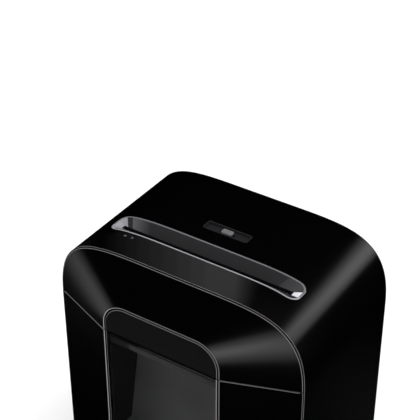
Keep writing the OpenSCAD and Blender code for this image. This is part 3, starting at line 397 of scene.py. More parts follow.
# ---- finishes ------------------------------------------------------------------------------
class Tap:
    """An output of a shader node; sums on it add their own Math nodes."""

    def __init__(self, tree, socket):
        self.tree, self.socket = tree, socket

    def add(self, kind, settings=None, sockets=None, give=0):
        """Adds a node: its settings first, then values or links of its sockets."""
        node = self.tree.nodes.new(kind)
        for key, value in (settings or {}).items():
            setattr(node, key, value)
        for key, value in (sockets or {}).items():
            if isinstance(value, Tap):
                self.tree.links.new(value.socket, node.inputs[key])
            else:
                node.inputs[key].default_value = value
        return Tap(self.tree, node.outputs[give]) if node.outputs else node

    def sum(self, way, a, b):
        return self.add("ShaderNodeMath", {"operation": way}, {0: a, 1: b})

    def axis(self, k):
        """One number, 0 to 2 for X to Z, of a place."""
        return self.add("ShaderNodeSeparateXYZ", None, {0: self}, give=k)

    def step(self, low, high):
        """0 below low millimetres and 1 above high."""
        return self.add("ShaderNodeMapRange", None, {0: self, 1: low * mm, 2: high * mm})

    def __add__(self, other):
        return self.sum("ADD", self, other)

    def __sub__(self, other):
        return self.sum("SUBTRACT", self, other)

    def __rsub__(self, other):
        return self.sum("SUBTRACT", other, self)

    def __mul__(self, other):
        return self.sum("MULTIPLY", self, other)

    __radd__ = __add__
    __rmul__ = __mul__


def shades(tap, mask, a, b):
    """Colour a where mask is 0 and b where it is 1; either may be a tap."""
    a, b = (c if isinstance(c, Tap) else (*c, 1) for c in (a, b))
    return tap.add("ShaderNodeMix", {"data_type": "RGBA"}, {0: mask, 6: a, 7: b}, give=2)


def face_tone(tap, name):
    """The tone that round_edges or tint wrote on the faces."""
    return tap.add("ShaderNodeAttribute", {"attribute_name": name}, give="Fac")


def varied(tone, share):
    """A tone made darker by share, and the same made lighter."""
    return [(1 - share) * t for t in tone], [(1 + share) * t for t in tone]


def sheet(name):
    """A new material: its first tap, and its Object coordinates."""
    material = bpy.data.materials.new(name)
    material.use_nodes = True
    material.node_tree.nodes.clear()
    tap = Tap(material.node_tree, None)
    return material, tap, tap.add("ShaderNodeTexCoord", give="Object")


def noise(place, size, detail=2.0, stretch=(1, 1, 1)):
    """Noise from 0 to 1 whose lumps are about size millimetres, longer along a small stretch."""
    scale = tuple(s / (size * mm) for s in stretch)
    at = place.add("ShaderNodeMapping", None, {"Vector": place, "Scale": scale})
    return place.add("ShaderNodeTexNoise", None,
                     {"Vector": at, "Scale": 1.0, "Detail": detail, "Roughness": 0.55})


def cells(place, scale):
    """Distance from the middle of the nearest of many small cells."""
    return place.add("ShaderNodeTexVoronoi", None, {"Vector": place, "Scale": scale}, give="Distance")


def close(tap, material, bump=None, depth=0.0, strength=1.0, **surface):
    """The Principled surface and its output; the last step of every material."""
    sockets = {key.replace("_", " "): value for key, value in surface.items()}
    if bump is not None:
        sockets["Normal"] = tap.add("ShaderNodeBump", None,
                                    {"Height": bump, "Distance": depth * mm, "Strength": strength})
    shader = tap.add("ShaderNodeBsdfPrincipled", None, sockets)
    tap.add("ShaderNodeOutputMaterial", None, {"Surface": shader})
    return material


def gloss_plastic(name, tone, rough, haze=0.03, peel=0.012):
    """High-gloss moulding: faint flow shading, orange-peel and a little haze in the gloss, with a
    painted highlight in light grey on its rounded edges."""
    material, tap, place = sheet(name)
    flow, ripple, grit = noise(place, 90.0, 2.0), noise(place, 5.0, 1.5), noise(place, 0.6, 2.0)
    # the rounded edges' painted highlight: light grey in place of the polish, and a duller gloss
    satin = face_tone(tap, "satin")
    polished = shades(tap, flow, *varied(tone, 0.2))
    highlight_grey = shades(tap, grit, (0.28, 0.28, 0.29), (0.36, 0.36, 0.37))
    colour = shades(tap, satin, polished, highlight_grey)
    gloss = rough + (noise(place, 36.0, 3.0) - 0.5) * haze
    return close(tap, material, ripple, peel, 0.35, Base_Color=colour,
                 Roughness=gloss + satin * 0.25, IOR=1.5)


def grained_plastic(name, tone, rough, grain=0.5, depth=0.03, spread=0.12):
    """Spark-eroded or fibre-filled moulding: a fine grain over a slow drift of tone."""
    material, tap, place = sheet(name)
    drift, fine = noise(place, 40.0, 3.0), noise(place, grain, 3.0)
    colour = shades(tap, drift, *varied(tone, spread))
    return close(tap, material, fine, depth, 0.6, Base_Color=colour,
                 Roughness=rough + (fine - 0.5) * 0.16, IOR=1.5)


def worked_metal(name, tone, rough, stretch, size, depth=0.006, stain=0.25):
    """Metal with the fine lines of its making along the axis of the small stretch."""
    material, tap, place = sheet(name)
    lines, cloud = noise(place, size, 3.0, stretch), noise(place, 26.0, 4.0)
    colour = shades(tap, cloud * 0.7 + lines * 0.3, [(1 - stain) * t for t in tone], tone)
    return close(tap, material, lines, depth, 0.6, Base_Color=colour, Metallic=1.0,
                 Roughness=rough + (lines - 0.5) * 0.16 + (cloud - 0.5) * 0.1)


def graphite_paint(name):
    """Metallic graphite moulding of the paper entry: fine flake, with painted light on the lip and the
    ends and painted shade down the throat, as the faces' painted tone says."""
    material, tap, place = sheet(name)
    flake = cells(place, 2600.0)
    cloud = noise(place, 30.0, 2.0)
    lit = face_tone(tap, "lit")
    tone = lit * (0.86 + flake * 0.14 + cloud * 0.14)
    colour = shades(tap, tone, (0.012, 0.012, 0.013), (0.86, 0.86, 0.92))
    return close(tap, material, flake, 0.004, 0.3, Base_Color=colour, Metallic=0.2,
                 Roughness=0.34 + (cloud - 0.5) * 0.06)


def soft_rubber(name):
    material, tap, place = sheet(name)
    fine, dust = noise(place, 0.8, 4.0), noise(place, 12.0, 3.0)
    colour = shades(tap, dust, (0.018, 0.018, 0.018), (0.04, 0.039, 0.037))
    return close(tap, material, fine, 0.05, 0.7, Base_Color=colour, Roughness=0.82 + (fine - 0.5) * 0.12)


def laminations(name, tone):
    """Stacked steel sheets 0.5 mm thick, seen as lines across the X axis."""
    material, tap, place = sheet(name)
    edge = place.sum("PINGPONG", place.axis(0), 0.25 * mm) * (4 / mm)
    rust = noise(place, 9.0, 4.0)
    colour = shades(tap, edge * 0.6 + rust * 0.4, [0.45 * t for t in tone], tone)
    return close(tap, material, edge, 0.05, 0.5, Base_Color=colour, Metallic=0.8,
                 Roughness=0.42 + (rust - 0.5) * 0.2)


def wound_copper(name):
    """Enamelled wire laid along X: ridges side by side round the coil."""
    material, tap, place = sheet(name)
    ridge = place.sum("PINGPONG", place.axis(1) + place.axis(2), 0.3 * mm) * (3.3 / mm)
    lay = noise(place, 2.5, 3.0, (0.1, 1, 1))
    colour = shades(tap, ridge * 0.7 + lay * 0.3, (0.16, 0.045, 0.015), (0.62, 0.24, 0.09))
    return close(tap, material, ridge, 0.12, 0.9, Base_Color=colour, Metallic=0.85,
                 Roughness=0.3 + (lay - 0.5) * 0.15)


def board_green(name):
    """Solder-masked board: copper tracks showing through, and bare pads."""
    material, tap, place = sheet(name)
    bricks = place.add("ShaderNodeTexBrick", {"offset": 0.37}, {
        "Vector": place, "Scale": 90.0, "Color1": (0, 0, 0, 1), "Color2": (0.3, 0.3, 0.3, 1),
        "Mortar": (1, 1, 1, 1), "Mortar Size": 0.06, "Brick Width": 0.9, "Row Height": 0.22,
    }, give="Fac")
    dots = place.add("ShaderNodeMapRange", None,
                     {0: cells(place, 170.0), 1: 0.16, 2: 0.12, 3: 0.0, 4: 1.0})
    green = shades(tap, bricks, (0.012, 0.075, 0.028), (0.03, 0.17, 0.06))
    colour = shades(tap, dots, green, (0.6, 0.58, 0.54))
    return close(tap, material, bricks + dots, 0.03, 0.5, Base_Color=colour, Metallic=dots * 0.9,
                 Roughness=0.38 - dots * 0.1)


def smoked_pane(name):
    """Smoke-tinted window: gloss over a dark sheet that still lets the bin show, with a painted
    highlight in light grey along its rounded edge, which is also less clear."""
    material, tap, place = sheet(name)
    flow = noise(place, 120.0, 2.0)
    satin = face_tone(tap, "satin")
    smoke = shades(tap, flow, (0.002, 0.002, 0.0022), (0.003, 0.003, 0.0033))
    colour = shades(tap, satin, smoke, (0.3, 0.3, 0.31))
    return close(tap, material, noise(place, 7.0, 1.5), 0.01, 0.25, Base_Color=colour,
                 Roughness=0.14 + (flow - 0.5) * 0.04,
                 Alpha=0.24 + (flow - 0.5) * 0.02 + satin * 0.7, IOR=1.5)


def tub_plastic(name):
    """Grained grey tub with painted light and shade: painted light on the sloping back wall that the
    window looks at, painted lighter still by its sides and foot where less light comes, painted
    shade darkest on the side walls, and painted shade on the strip of the front wall over the view."""
    material, tap, place = sheet(name)
    drift, fine = noise(place, 40.0, 3.0), noise(place, 0.9, 3.0)
    across, back, high = (place.axis(k) for k in (0, 1, 2))
    aside = tap.sum("ABSOLUTE", across, 0.0)
    # painted shade on the side walls; painted light on the back wall, lightest by its sides and foot
    between_sides = 1 - aside.step(157.7, 158.0)
    painted_light_fill = (0.64 + aside.step(47, 110) * 0.36) * (1 - high.step(25, 85) * 0.3)
    rear = between_sides * painted_light_fill * back.step(-60, 0)
    # painted shade on the front wall's strip over the view
    strip = (1 - back.step(-106, -100)) * across.step(-48, -46) * 0.1
    colour = shades(tap, (rear + strip) * (0.94 + drift * 0.12), (0.022, 0.022, 0.023),
                    (0.52, 0.52, 0.528))
    return close(tap, material, fine, 0.04, 0.6, Base_Color=colour,
                 Roughness=0.5 + (fine - 0.5) * 0.16, IOR=1.5)


def lens_clear(name):
    material, tap, place = sheet(name)
    depth = noise(place, 2.0, 2.0)
    colour = shades(tap, depth, (0.07, 0.08, 0.09), (0.17, 0.19, 0.21))
    return close(tap, material, depth, 0.01, 0.2, Base_Color=colour, Roughness=0.12 + depth * 0.08,
                 Alpha=0.75 + depth * 0.1, IOR=1.49)


def moulded(*settings):
    return lambda name: grained_plastic(name, *settings)


def worked(*settings):
    return lambda name: worked_metal(name, *settings)


along_x, all_ways = (0.02, 1, 1), (1, 1, 1)
# moulded: tone, roughness, the grain's size and depth, spread of tone
# worked: tone, roughness, the lines' stretch, size and depth, stain
recipes = {
    "shell_gloss_black": lambda n: gloss_plastic(n, (0.0006, 0.0006, 0.00065), 0.19),
    "nose_gloss_black": lambda n: gloss_plastic(n, (0.0005, 0.0005, 0.00055), 0.19),
    "inlay_gloss_black": lambda n: gloss_plastic(n, (0.0048, 0.0048, 0.005), 0.22, 0.04, 0.02),
    "throat_graphite": graphite_paint,
    "panel_satin_black": moulded((0.014, 0.014, 0.015), 0.5, 0.7, 0.05),
    "foot_rubber": soft_rubber,
    "deck_black": moulded((0.024, 0.024, 0.026), 0.48, 1.2, 0.04),
    "plate_steel": worked((0.56, 0.57, 0.59), 0.36, (0.3, 0.3, 1), 2.0, 0.01),
    "rod_steel": worked((0.62, 0.63, 0.65), 0.28, (1, 0.05, 0.05), 0.3),
    "screw_zinc": worked((0.64, 0.64, 0.6), 0.3, (0.5, 0.5, 0.5), 0.6, 0.01),
    "bush_bronze": worked((0.52, 0.36, 0.18), 0.42, all_ways, 0.35, 0.02),
    "stripper_black": moulded((0.028, 0.028, 0.03), 0.45, 1.0, 0.05),
    "motor_iron": lambda n: laminations(n, (0.42, 0.43, 0.44)),
    "winding_copper": wound_copper,
    "motor_alloy": worked((0.6, 0.61, 0.63), 0.46, all_ways, 1.6, 0.05, 0.2),
    "brush_carbon": moulded((0.03, 0.03, 0.033), 0.5, 0.3, 0.03, 0.25),
    "cutout_cream": moulded((0.62, 0.58, 0.48), 0.4, 0.6, 0.02, 0.06),
    "board_green": board_green,
    "standoff_nylon": moulded((0.62, 0.62, 0.58), 0.36, 0.8, 0.01, 0.05),
    "component_dark": moulded((0.035, 0.036, 0.042), 0.4, 0.4, 0.02, 0.3),
    "gland_black": moulded((0.018, 0.018, 0.018), 0.52, 0.6, 0.04),
    "control_black": moulded((0.016, 0.016, 0.018), 0.36, 0.5, 0.02),
    "switch_dark": moulded((0.04, 0.045, 0.055), 0.38, 0.5, 0.02, 0.1),
    "lens_clear": lens_clear,
    "shaft_steel": worked((0.5, 0.51, 0.53), 0.3, along_x, 0.4),
    "disc_steel": worked((0.55, 0.56, 0.57), 0.3, (1, 0.25, 0.25), 0.4, 0.01, 0.35),
    "spacer_steel": worked((0.4, 0.41, 0.42), 0.36, along_x, 0.5, 0.01, 0.3),
    "gear_steel": worked((0.47, 0.46, 0.44), 0.4, all_ways, 0.3, 0.02, 0.3),
    "gear_nylon": moulded((0.66, 0.64, 0.56), 0.34, 0.9, 0.01, 0.05),
    "armature_iron": lambda n: laminations(n, (0.36, 0.33, 0.3)),
    "pinion_brass": worked((0.72, 0.55, 0.26), 0.3, (0.2, 1, 1), 0.4),
    "fan_black": moulded((0.02, 0.02, 0.022), 0.4, 0.6, 0.02),
    "knob_grey": moulded((0.15, 0.15, 0.158), 0.38, 0.5, 0.02, 0.06),
    "flap_grey": moulded((0.1, 0.1, 0.105), 0.42, 0.6, 0.02),
    "plunger_red": moulded((0.5, 0.045, 0.03), 0.36, 0.7, 0.01, 0.08),
    "window_smoke": smoked_pane,
    "tub_grey": tub_plastic,
}
made_finishes = {}


def finish_of(name):
    if name not in made_finishes:
        made_finishes[name] = recipes[name](name)
    return made_finishes[name]


# ---- shapes --------------------------------------------------------------------------------
def block(name, x, y, z):
    """A square bar between two places on each axis, ready to be welded on or cut with."""
    foot = [(x[i], y[j], z[0]) for i, j in ((0, 0), (1, 0), (1, 1), (0, 1))]
    return slab(name, foot, (0, 0, z[1] - z[0]))


def turned(name, profile, place, axis="Z", steps=48):
    """A profile of (radius, height) spun round an axis through place."""
    lay = {"Z": lambda r, h: (r, 0, h), "Y": lambda r, h: (r, h, 0)}[axis]
    line = {"Z": (0, 0, 1), "Y": (0, 1, 0)}[axis]
    centre = Vector(place)
    piece = wire(name, [tuple(centre + Vector(lay(r, h))) for r, h in profile])
    bpy.ops.mesh.select_all(action="SELECT")
    bpy.ops.mesh.spin(steps=steps, angle=2 * math.pi, center=centre * mm, axis=line,
                      use_auto_merge=True)
    put_down()
    merge(piece)
    return piece


def shift(piece, way):
    """Moves a piece's mesh, so that the piece itself stays at the origin."""
    pick(piece)
    bpy.ops.object.mode_set(mode="EDIT")
    bpy.ops.mesh.select_all(action="SELECT")
    bpy.ops.transform.translate(value=Vector(way) * mm)
    put_down()


def again(piece, way):
    """A copy of a piece with its own mesh, moved by way."""
    pick(piece)
    bpy.ops.object.duplicate(linked=False)
    copy = bpy.context.object
    shift(copy, way)
    return copy


def join(first, *others):
    pick(first, *others)
    bpy.ops.object.join()
    put_down()
    return first


def ring_of(outer, inner, name, way):
    """A slab of one outline less the other, which starts a little before it and ends after it."""
    piece, hole = slab(name, outer, way), slab(name + "_hole", inner, [2 * w for w in way])
    shift(hole, Vector(way) * -0.5)
    cut(piece, hole)
    return piece


# ---- shell ---------------------------------------------------------------------------------
def opening(name, cy, l, d, r, steps=10):
    """A cutter for a hole with round corners in the shell's top."""
    points = []
    for sx, sy, start in ((1, -1, -90), (1, 1, 0), (-1, 1, 90), (-1, -1, 180)):
        for i in range(steps + 1):
            a = math.radians(start + 90 * i / steps)
            points.append((sx * (l / 2 - r) + r * math.cos(a), cy + sy * (d / 2 - r) + r * math.sin(a),
                           funnel_z))
    return slab(name, points, (0, 0, over))


def within(x, x0, x1, y, y0, y1):
    return x0 < x < x1 and y0 < y < y1


def by_opening(p):
    """True round the paper entry, the control plate and the lenses."""
    edge, plate_l, plate_d = 0.1, control_l / 2, control_d / 2
    return (within(p.x, -entry_hl - edge, entry_hl + edge, p.y, entry_y0 - edge, entry_y0 + entry_d + edge)
            or within(p.x, -plate_l - edge, plate_l + edge,
                      p.y, control_y - plate_d - edge, control_y + plate_d + edge)
            or within(p.x, lens_x - 3, lens_x + lens_pitch + 3, p.y, lens_y - 3, lens_y + 3))


def on_arch(p):
    """True on the outer face of the shell, on its sides as well as its shoulders."""
    if max(abs(p.x) / half_w, p.z / crown_z) <= 0.3:
        return False
    return near(abs(p.x), half_w, 0.05) if p.z < crown_z - shoulder_fall else near(p.z, crown(p.x), 0.35)


def make_shell():
    shell = ring_of(standing(shell_outline(0, foot_z), shell_y),
                    standing(shell_outline(wall, foot_z - 1), shell_y), "shell", (0, back_y - shell_y, 0))
    cut(shell, opening("entry_hole", entry_y, 2 * entry_hl, entry_d, entry_r))
    cut(shell, opening("control_hole", control_y, control_l, control_d, control_r))
    for i in range(2):
        at = circle(lens_x + i * lens_pitch, lens_y, lens_r + 0.1)
        cut(shell, slab("lens_hole", [(x, y, funnel_z) for x, y in at], (0, 0, over)))
    inner_hw, sink = half_w - wall, 0.5
    rail_y, rails = (shell_y + 17, back_y - 27.5), ((11, 293, 297), (4.6, 9.5, 15.5))
    boss_y, boss_heights, boss_r, pilot_r = (91.5, 109.5), (32, 151.5, 269), 5, 1.3
    for s in (-1, 1):
        for width, low, high in rails:
            x = sorted((s * (inner_hw - width), s * (inner_hw + sink)))
            cut(shell, block("rail", x, rail_y, (low, high)), "UNION")
        boss_x = s * (inner_hw - boss_r)
        for z in boss_heights:
            boss = slab("boss", standing(circle(boss_x, z, boss_r, 32), boss_y[0]),
                        (0, boss_y[1] - boss_y[0], 0))
            web = sorted((boss_x, s * (inner_hw + sink)))
            cut(boss, block("web", web, boss_y, (z - boss_r, z + boss_r)), "UNION")
            cut(boss, slab("pilot", standing(circle(boss_x, z, pilot_r, 20), boss_y[0] + 4), (0, 20, 0)))
            cut(shell, boss, "UNION")
    # its front and back edges, and those of the openings in its top
    # the front edge's round gets a painted highlight in light grey; the back edge's gets none
    for y, width, satin in ((shell_y, 0.8, 1.0), (back_y, 1.0, 0.0)):
        round_edges(shell, both(lambda p: near(p.y, y) and on_arch(p)), width, 4, satin)
    top_edge = both(lambda p: by_opening(p) and on_arch(p))
    round_edges(shell, lambda p, q: top_edge(p, q) and p.z > 360, 0.35, 2)
    even_shading(shell, 28)
    hand_over(shell, "wrap_shell")


# ---- nose, arched inlay and their joint ----------------------------------------------------
def outermost(p):
    """True on the outer face of a wing, from the fold to the shell."""
    return abs((p.y - front_y) * wing_run - (abs(p.x) - arch_hw) * wing_depth) < 60


def make_nose():
    low = arch_angle(shell_step, nose_low)
    angles = [a for a in big_arch if a < low - 0.4] + [low]
    right = []
    for a in angles:
        outer = arch_point(shell_step, a)
        front = (arch_hw, nose_low) if a == low else corner_point(0, arch_facing(a))
        share = 1 - pocket / wing_depth
        inner = [f + (o - f) * share for f, o in zip(front, outer)]
        right.append((outer, front, front, inner))
    places = (seam_y, front_y, front_y + pocket, seam_y)
    rows = [standing(mirrored([r[k] for r in right]), places[k]) for k in range(4)]
    nose = skin("nose", rows)
    # the skin's two feet, at the joint, are still open
    bpy.ops.mesh.select_all(action="SELECT")
    bpy.ops.mesh.fill_holes(sides=4)
    put_down()
    merge(nose)
    above_joint = lambda p, q: min(p.z, q.z) > nose_low - 0.1 and max(p.z, q.z) > nose_low + 0.1
    # the rounds of the front edge, of the back edge by the shell and along the joint get a painted
    # highlight in light grey
    for row, width, steps, satin in ((rows[1], 0.8, 4, 0.9), (rows[0], 1.5, 5, 0.5)):
        along = on_row(row)
        round_edges(nose, lambda p, q: along(p, q) and above_joint(p, q), width, steps, satin)
    on_skin = lambda p: p.y < front_y + 0.5 or p.y > seam_y - 2 or abs(p.x) > arch_hw + 0.5
    at_joint = both(lambda p: near(p.z, nose_low) and on_skin(p) and outermost(p))
    round_edges(nose, lambda p, q: at_joint(p, q) and abs(p.y - q.y) > 20, 0.3, 2, 0.5)
    # a lip that reaches into the shell, and a ledge that the inlay lies on
    lips_y = (seam_y - 0.5, shell_y + 9)
    lips = ring_of(standing(shell_outline(wall + fit, nose_low), lips_y[0]),
                   standing(shell_outline(wall + fit + lip, nose_low - 1), lips_y[0]), "lips",
                   (0, lips_y[1] - lips_y[0], 0))
    cut(nose, lips, "UNION")
    ledge = ring_of(standing(small_arch(-3, nose_low), front_y + pocket),
                    standing(small_arch(9, nose_low - 1), front_y + pocket), "ledge", (0, lip, 0))
    cut(nose, ledge, "UNION")
    even_shading(nose, 20)
    hand_over(nose, "nose_fascia")


def front_edges(straight_z):
    """A test of edges: on the front, apart from the straight one at the joint."""
    on_front, straight = both(lambda p: near(p.y, front_y)), both(lambda p: near(p.z, straight_z))
    return lambda p, q: on_front(p, q) and not straight(p, q)


def make_inlay():
    inlay = slab("arched_inlay", standing(small_arch(groove, nose_low), front_y), (0, pane, 0))
    # the front edge's round gets a painted highlight in light grey
    round_edges(inlay, front_edges(nose_low), 0.5, 3, 0.45)
    even_shading(inlay)
    hand_over(inlay, "arch_inlay")


# ---- paper entry ---------------------------------------------------------------------------
def mouth(hl, hd, r, height, steps=7, along=76):
    """Once round a mouth with round corners, from its left end along the front and back."""
    xs = [-(hl - r) - r * math.cos(math.radians(90 * i / steps)) for i in range(steps)]
    xs += [(hl - r) * (2 * i / along - 1) for i in range(along + 1)]
    xs += [hl - r + r * math.cos(math.radians(90 * i / steps)) for i in range(steps - 1, -1, -1)]
    half = lambda x: hd - r + math.sqrt(max(0, r * r - max(0, abs(x) - (hl - r)) ** 2))
    front = [(x, entry_y - half(x), height(x)) for x in xs]
    return front + [(x, entry_y + half(x), height(x)) for x in reversed(xs)]


def slot_ring(grow, z):
    """The slot's outline with as many points as a mouth, grown by grow."""
    ring = mouth(funnel_hl, entry_d / 2 - entry_rim, funnel_r, lambda x: z)
    n = len(ring) // 2
    scale = (slot_hl + grow) / funnel_hl
    return [(x * scale, slot_y + (slot_half + grow) * (-1 if i < n else 1), z)
            for i, (x, _, _) in enumerate(ring)]


def entry_painted_light(p, n):
    """The painted light and shade of a face of the entry: painted light on the rim and the ends,
    painted shade on the long walls and darkest down the chute. The back wall is painted lighter by its
    left corner, and fades from there."""
    corner_x, fade_x, fade_run, end_x = -115.5, -109, 26, 100
    front = p.y < slot_y
    if p.z < funnel_z - 0.1:
        return 0.0
    if n.z > 0.6 and p.z > crown(p.x) - 0.95:
        return 0.42 if front else 0.2
    if abs(n.x) > 0.2:
        return 1.0 if p.x > 0 else 0.42
    if p.x < corner_x:
        return 0.34
    if front:
        return 0.015
    # a painted glow on the back wall, fading to the right from its left corner
    painted_glow = 0.1 * max(0, 1 - (p.x - fade_x) / fade_run) if p.x > fade_x else 0
    return 0.02 + painted_glow + (0.025 if p.x > end_x else 0)


def make_throat():
    hd = entry_d / 2
    rim = lambda grow, height: mouth(entry_hl + grow, hd + grow, entry_r + grow, height)
    below = lambda inset: lambda x: crown(x, inset)
    flange, flange_low, top = below(wall + fit), below(wall + fit + lip), below(0.3)
    under = min(funnel_z - lip, flange_low(entry_hl + 3))
    rings = [
        rim(-fit, lambda x: under),
        rim(-fit, flange_low),
        rim(3, flange_low),
        rim(3, flange),
        rim(-fit, flange),
        rim(-fit, top),
        rim(-entry_rim, top),
        slot_ring(0, funnel_z),
        slot_ring(0, chute_z),
        slot_ring(2, chute_z),
        slot_ring(2, under),
    ]
    throat = skin("paper_entry", [ring + ring[:1] for ring in rings])
    put_down()
    merge(throat)
    # the rim's outer and inner edge
    lips = [on_row(ring) for ring in rings[5:7]]
    round_edges(throat, lambda p, q: any(lip_edge(p, q) for lip_edge in lips), 0.4, 3)
    # ribs on the slot's front wall, and two ears that carry the paper flap's axle
    throat_parts = []
    slot_front, rib_spaces = slot_y - slot_half, 46
    rib = block("rib", (-0.5, 0.5), (slot_front - 0.4, slot_front + 0.7), (chute_z, funnel_z))
    round_edges(rib, lambda p, q: max(p.y, q.y) > slot_front + 0.5, 0.25, 2)
    pitch = 2 * slot_hl / rib_spaces
    for i in range(1, rib_spaces):
        throat_parts.append(again(rib, (-slot_hl + i * pitch, 0, 0)))
    bpy.data.objects.remove(rib)
    ear_low = chute_z - 7
    for x in ((63.5, 65.5), (54.5, 56.5)):
        ear = block("ear", x, (slot_y - 42, slot_front), (ear_low, under + 0.5))
        axle = circle(slot_y - 20, chute_z - 3, 1.7)
        cut(ear, slab("axle_hole", [(x[0] - 1, y, z) for y, z in axle], (4, 0, 0)))
        round_edges(ear, both(lambda p: near(p.z, ear_low)), 0.4, 2)
        throat_parts.append(ear)
    join(throat, *throat_parts)
    # painted light and shade on each face of the entry
    tint(throat, "lit", entry_painted_light)
    even_shading(throat, 26)
    hand_over(throat, "paper_throat")


# ---- bin -----------------------------------------------------------------------------------
def bin_plan(inset, back, z):
    """The bin seen from above, set in by inset: its sides, wings and front."""
    wing_y = seam_y + inset * (wing_length - wing_depth) / wing_run
    nose_x = arch_hw - inset * (wing_length - wing_run) / wing_depth
    right = [(nose_x, front_y + inset), (side_in - inset, wing_y), (side_in - inset, back)]
    return [(x, y, z) for x, y in mirrored(right)]


def scoop_outline(steps=8):
    """The finger scoop under the bin's front, with its upper corners round."""
    points = [(-scoop_hw, bin_z0 - 1)]
    for cx, start in ((scoop_r - scoop_hw, 180), (scoop_hw - scoop_r, 90)):
        for i in range(steps + 1):
            a = math.radians(start - 90 * i / steps)
            points.append((cx + scoop_r * math.cos(a), bin_z0 + scoop_h - scoop_r + scoop_r * math.sin(a)))
    return points + [(scoop_hw, bin_z0 - 1)]


def make_bin_front():
    up = (0, 0, bin_z1 - bin_z0)
    before = front_y - 1
    front = slab("bin_front_panel", bin_plan(0, seam_y, bin_z0)[1:-1], up)
    # its top and foot, and the folds between wings and front, rounded with a painted highlight in light
    # grey
    for z, width in ((bin_z1, 0.75), (bin_z0, 0.4)):
        skin_edge = both(lambda p: near(p.z, z) and p.y < seam_y + 0.1
                         and (abs(p.x) < arch_hw + 1 or outermost(p)))
        round_edges(front, lambda p, q: skin_edge(p, q) and abs(p.x - q.x) > 20, width, 4, 0.33)
    fold = both(lambda p: near(abs(p.x), arch_hw, 1) and near(p.y, front_y, 1))
    round_edges(front, lambda p, q: fold(p, q) and abs(p.z - q.z) > 50, 0.9, 4, 0.9)
    cut(front, slab("hollow", bin_plan(sill, seam_y + 1, bin_z0 - 1), (0, 0, up[2] + 2)))
    cut(front, block("ledge", (-arch_hw - 0.5, arch_hw + 0.5), (front_y + 1, front_y + pocket + lip),
                     (window_low - 4, bin_z1)), "UNION")
    cut(front, slab("pocket", standing(window_outline(0, bin_z1 + 1), before), (0, pocket + 1, 0)))
    # the pocket's mouth widens to the front by flare, and these slanted faces get a painted highlight in
    # light grey
    flare = 0.8
    flare_cutter = slab("flare", standing(window_outline(0.02 - flare, bin_z1 + 4), before),
                        (0, 1 + flare, 0))
    round_edges(flare_cutter, both(lambda p: near(p.y, front_y + flare)), flare, 1)
    cut(front, flare_cutter)
    cut(front, slab("view", standing(window_outline(window_ledge, bin_z1 - 4), before), (0, 20, 0)))
    cut(front, slab("scoop", standing(scoop_outline(), before), (0, 13, 0)))
    painted_flare_highlight = lambda p, n: 0.9 if (front_y + 0.01 < p.y < front_y + flare - 0.01
                                  and abs(p.x) < arch_hw + 0.9 and p.z > window_low - 1) else None
    tint(front, "satin", painted_flare_highlight)
    # the back corners' rounds get a painted highlight in light grey
    round_edges(front, both(lambda p: near(abs(p.x), side_in) and near(p.y, seam_y)), 1.0, 4, 0.5)
    for s in (-1, 1):
        x = sorted((s * (half_w - wall - fit - lip), s * (half_w - wall - fit)))
        cut(front, block("side_lip", x, (seam_y - 1.6, shell_y + 8), (bin_z0, bin_z1)), "UNION")
    even_shading(front, 18)
    hand_over(front, "bin_front")


def make_window():
    window = slab("smoked_window", standing(window_outline(groove, bin_z1), front_y), (0, pane, 0))
    # the front edge's round gets a painted highlight in light grey
    round_edges(window, front_edges(bin_z1), 0.9, 4, 0.8)
    even_shading(window)
    hand_over(window, "bin_window")


# ---- small turned pieces -------------------------------------------------------------------
def make_feet():
    places = [(x * (half_w - 34), y * (back_y - 46), 0) for x in (-1, 1) for y in (-1, 1)]
    bore, seat = 2.2, 4     # the screw's hole and the height that its head lies at
    profile = [(bore, seat), (3.5, seat), (3.5, 0.4), (3.9, 0), (9.8, 0), (10.3, 0.25), (10.8, 1.4),
               (11.4, 2), (12, 2.5), (12, 3.6), (11.6, 3.9), (11.6, 4.5), (12, 4.8), (12, 6.6),
               (11.6, foot_z), (bore, foot_z), (bore, seat)]
    feet = [turned("foot", profile, p) for p in places]
    join(feet[0], *feet[1:])
    feet[0].name = "rubber_foot_set"
    even_shading(feet[0], 30)
    hand_over(feet[0], "rubber_feet")


def make_gland():
    low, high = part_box("cord_gland")
    x, z = (low.x + high.x) / 2 / mm, (low.z + high.z) / 2 / mm
    y0, y1 = low.y / mm, high.y / mm
    bore, body = 3.6, 7.5
    profile = [(bore, y0), (8.2, y0), (8.7, y0 + 0.5), (8.7, y0 + 6.3), (8.3, y0 + 6.8),
               (body, y0 + 6.9), (body, y1 - 1.7), (9.2, y1 - 1.6), (9.5, y1 - 1.2), (9.4, y1 - 0.5),
               (8.4, y1), (6.2, y1), (5.6, y1 - 0.6), (4.6, y1 - 0.7), (4.2, y1 - 0.2),
               (bore, y1 - 0.5), (bore, y0)]
    gland = turned("cord_collar", profile, (x, 0, z), "Y")
    even_shading(gland, 30)
    hand_over(gland, "cord_gland")


def make_lenses():
    made = []
    for i in range(2):
        x = lens_x + i * lens_pitch
        r, collar_r, top = lens_r, lens_r + 1.2, crown(x) - 0.1
        collar = top - wall
        profile = [(0.01, top), (0.9, top - 0.05), (1.6, top - 0.3), (r, top - 0.9), (r, collar - 1.9),
                   (collar_r, collar - 2.1), (collar_r, collar - 3.9), (r, collar - 4),
                   (r, top - 17.6), (1.7, top - 18), (0.01, top - 18)]
        made.append(turned("lens", profile, (x, lens_y, 0), steps=24))
    join(*made)
    made[0].name = "status_lenses"
    even_shading(made[0], 40)
    hand_over(made[0], "indicator_lenses")


for make in (make_shell, make_nose, make_inlay, make_throat, make_bin_front, make_window, make_feet,
             make_gland, make_lenses):
    make()

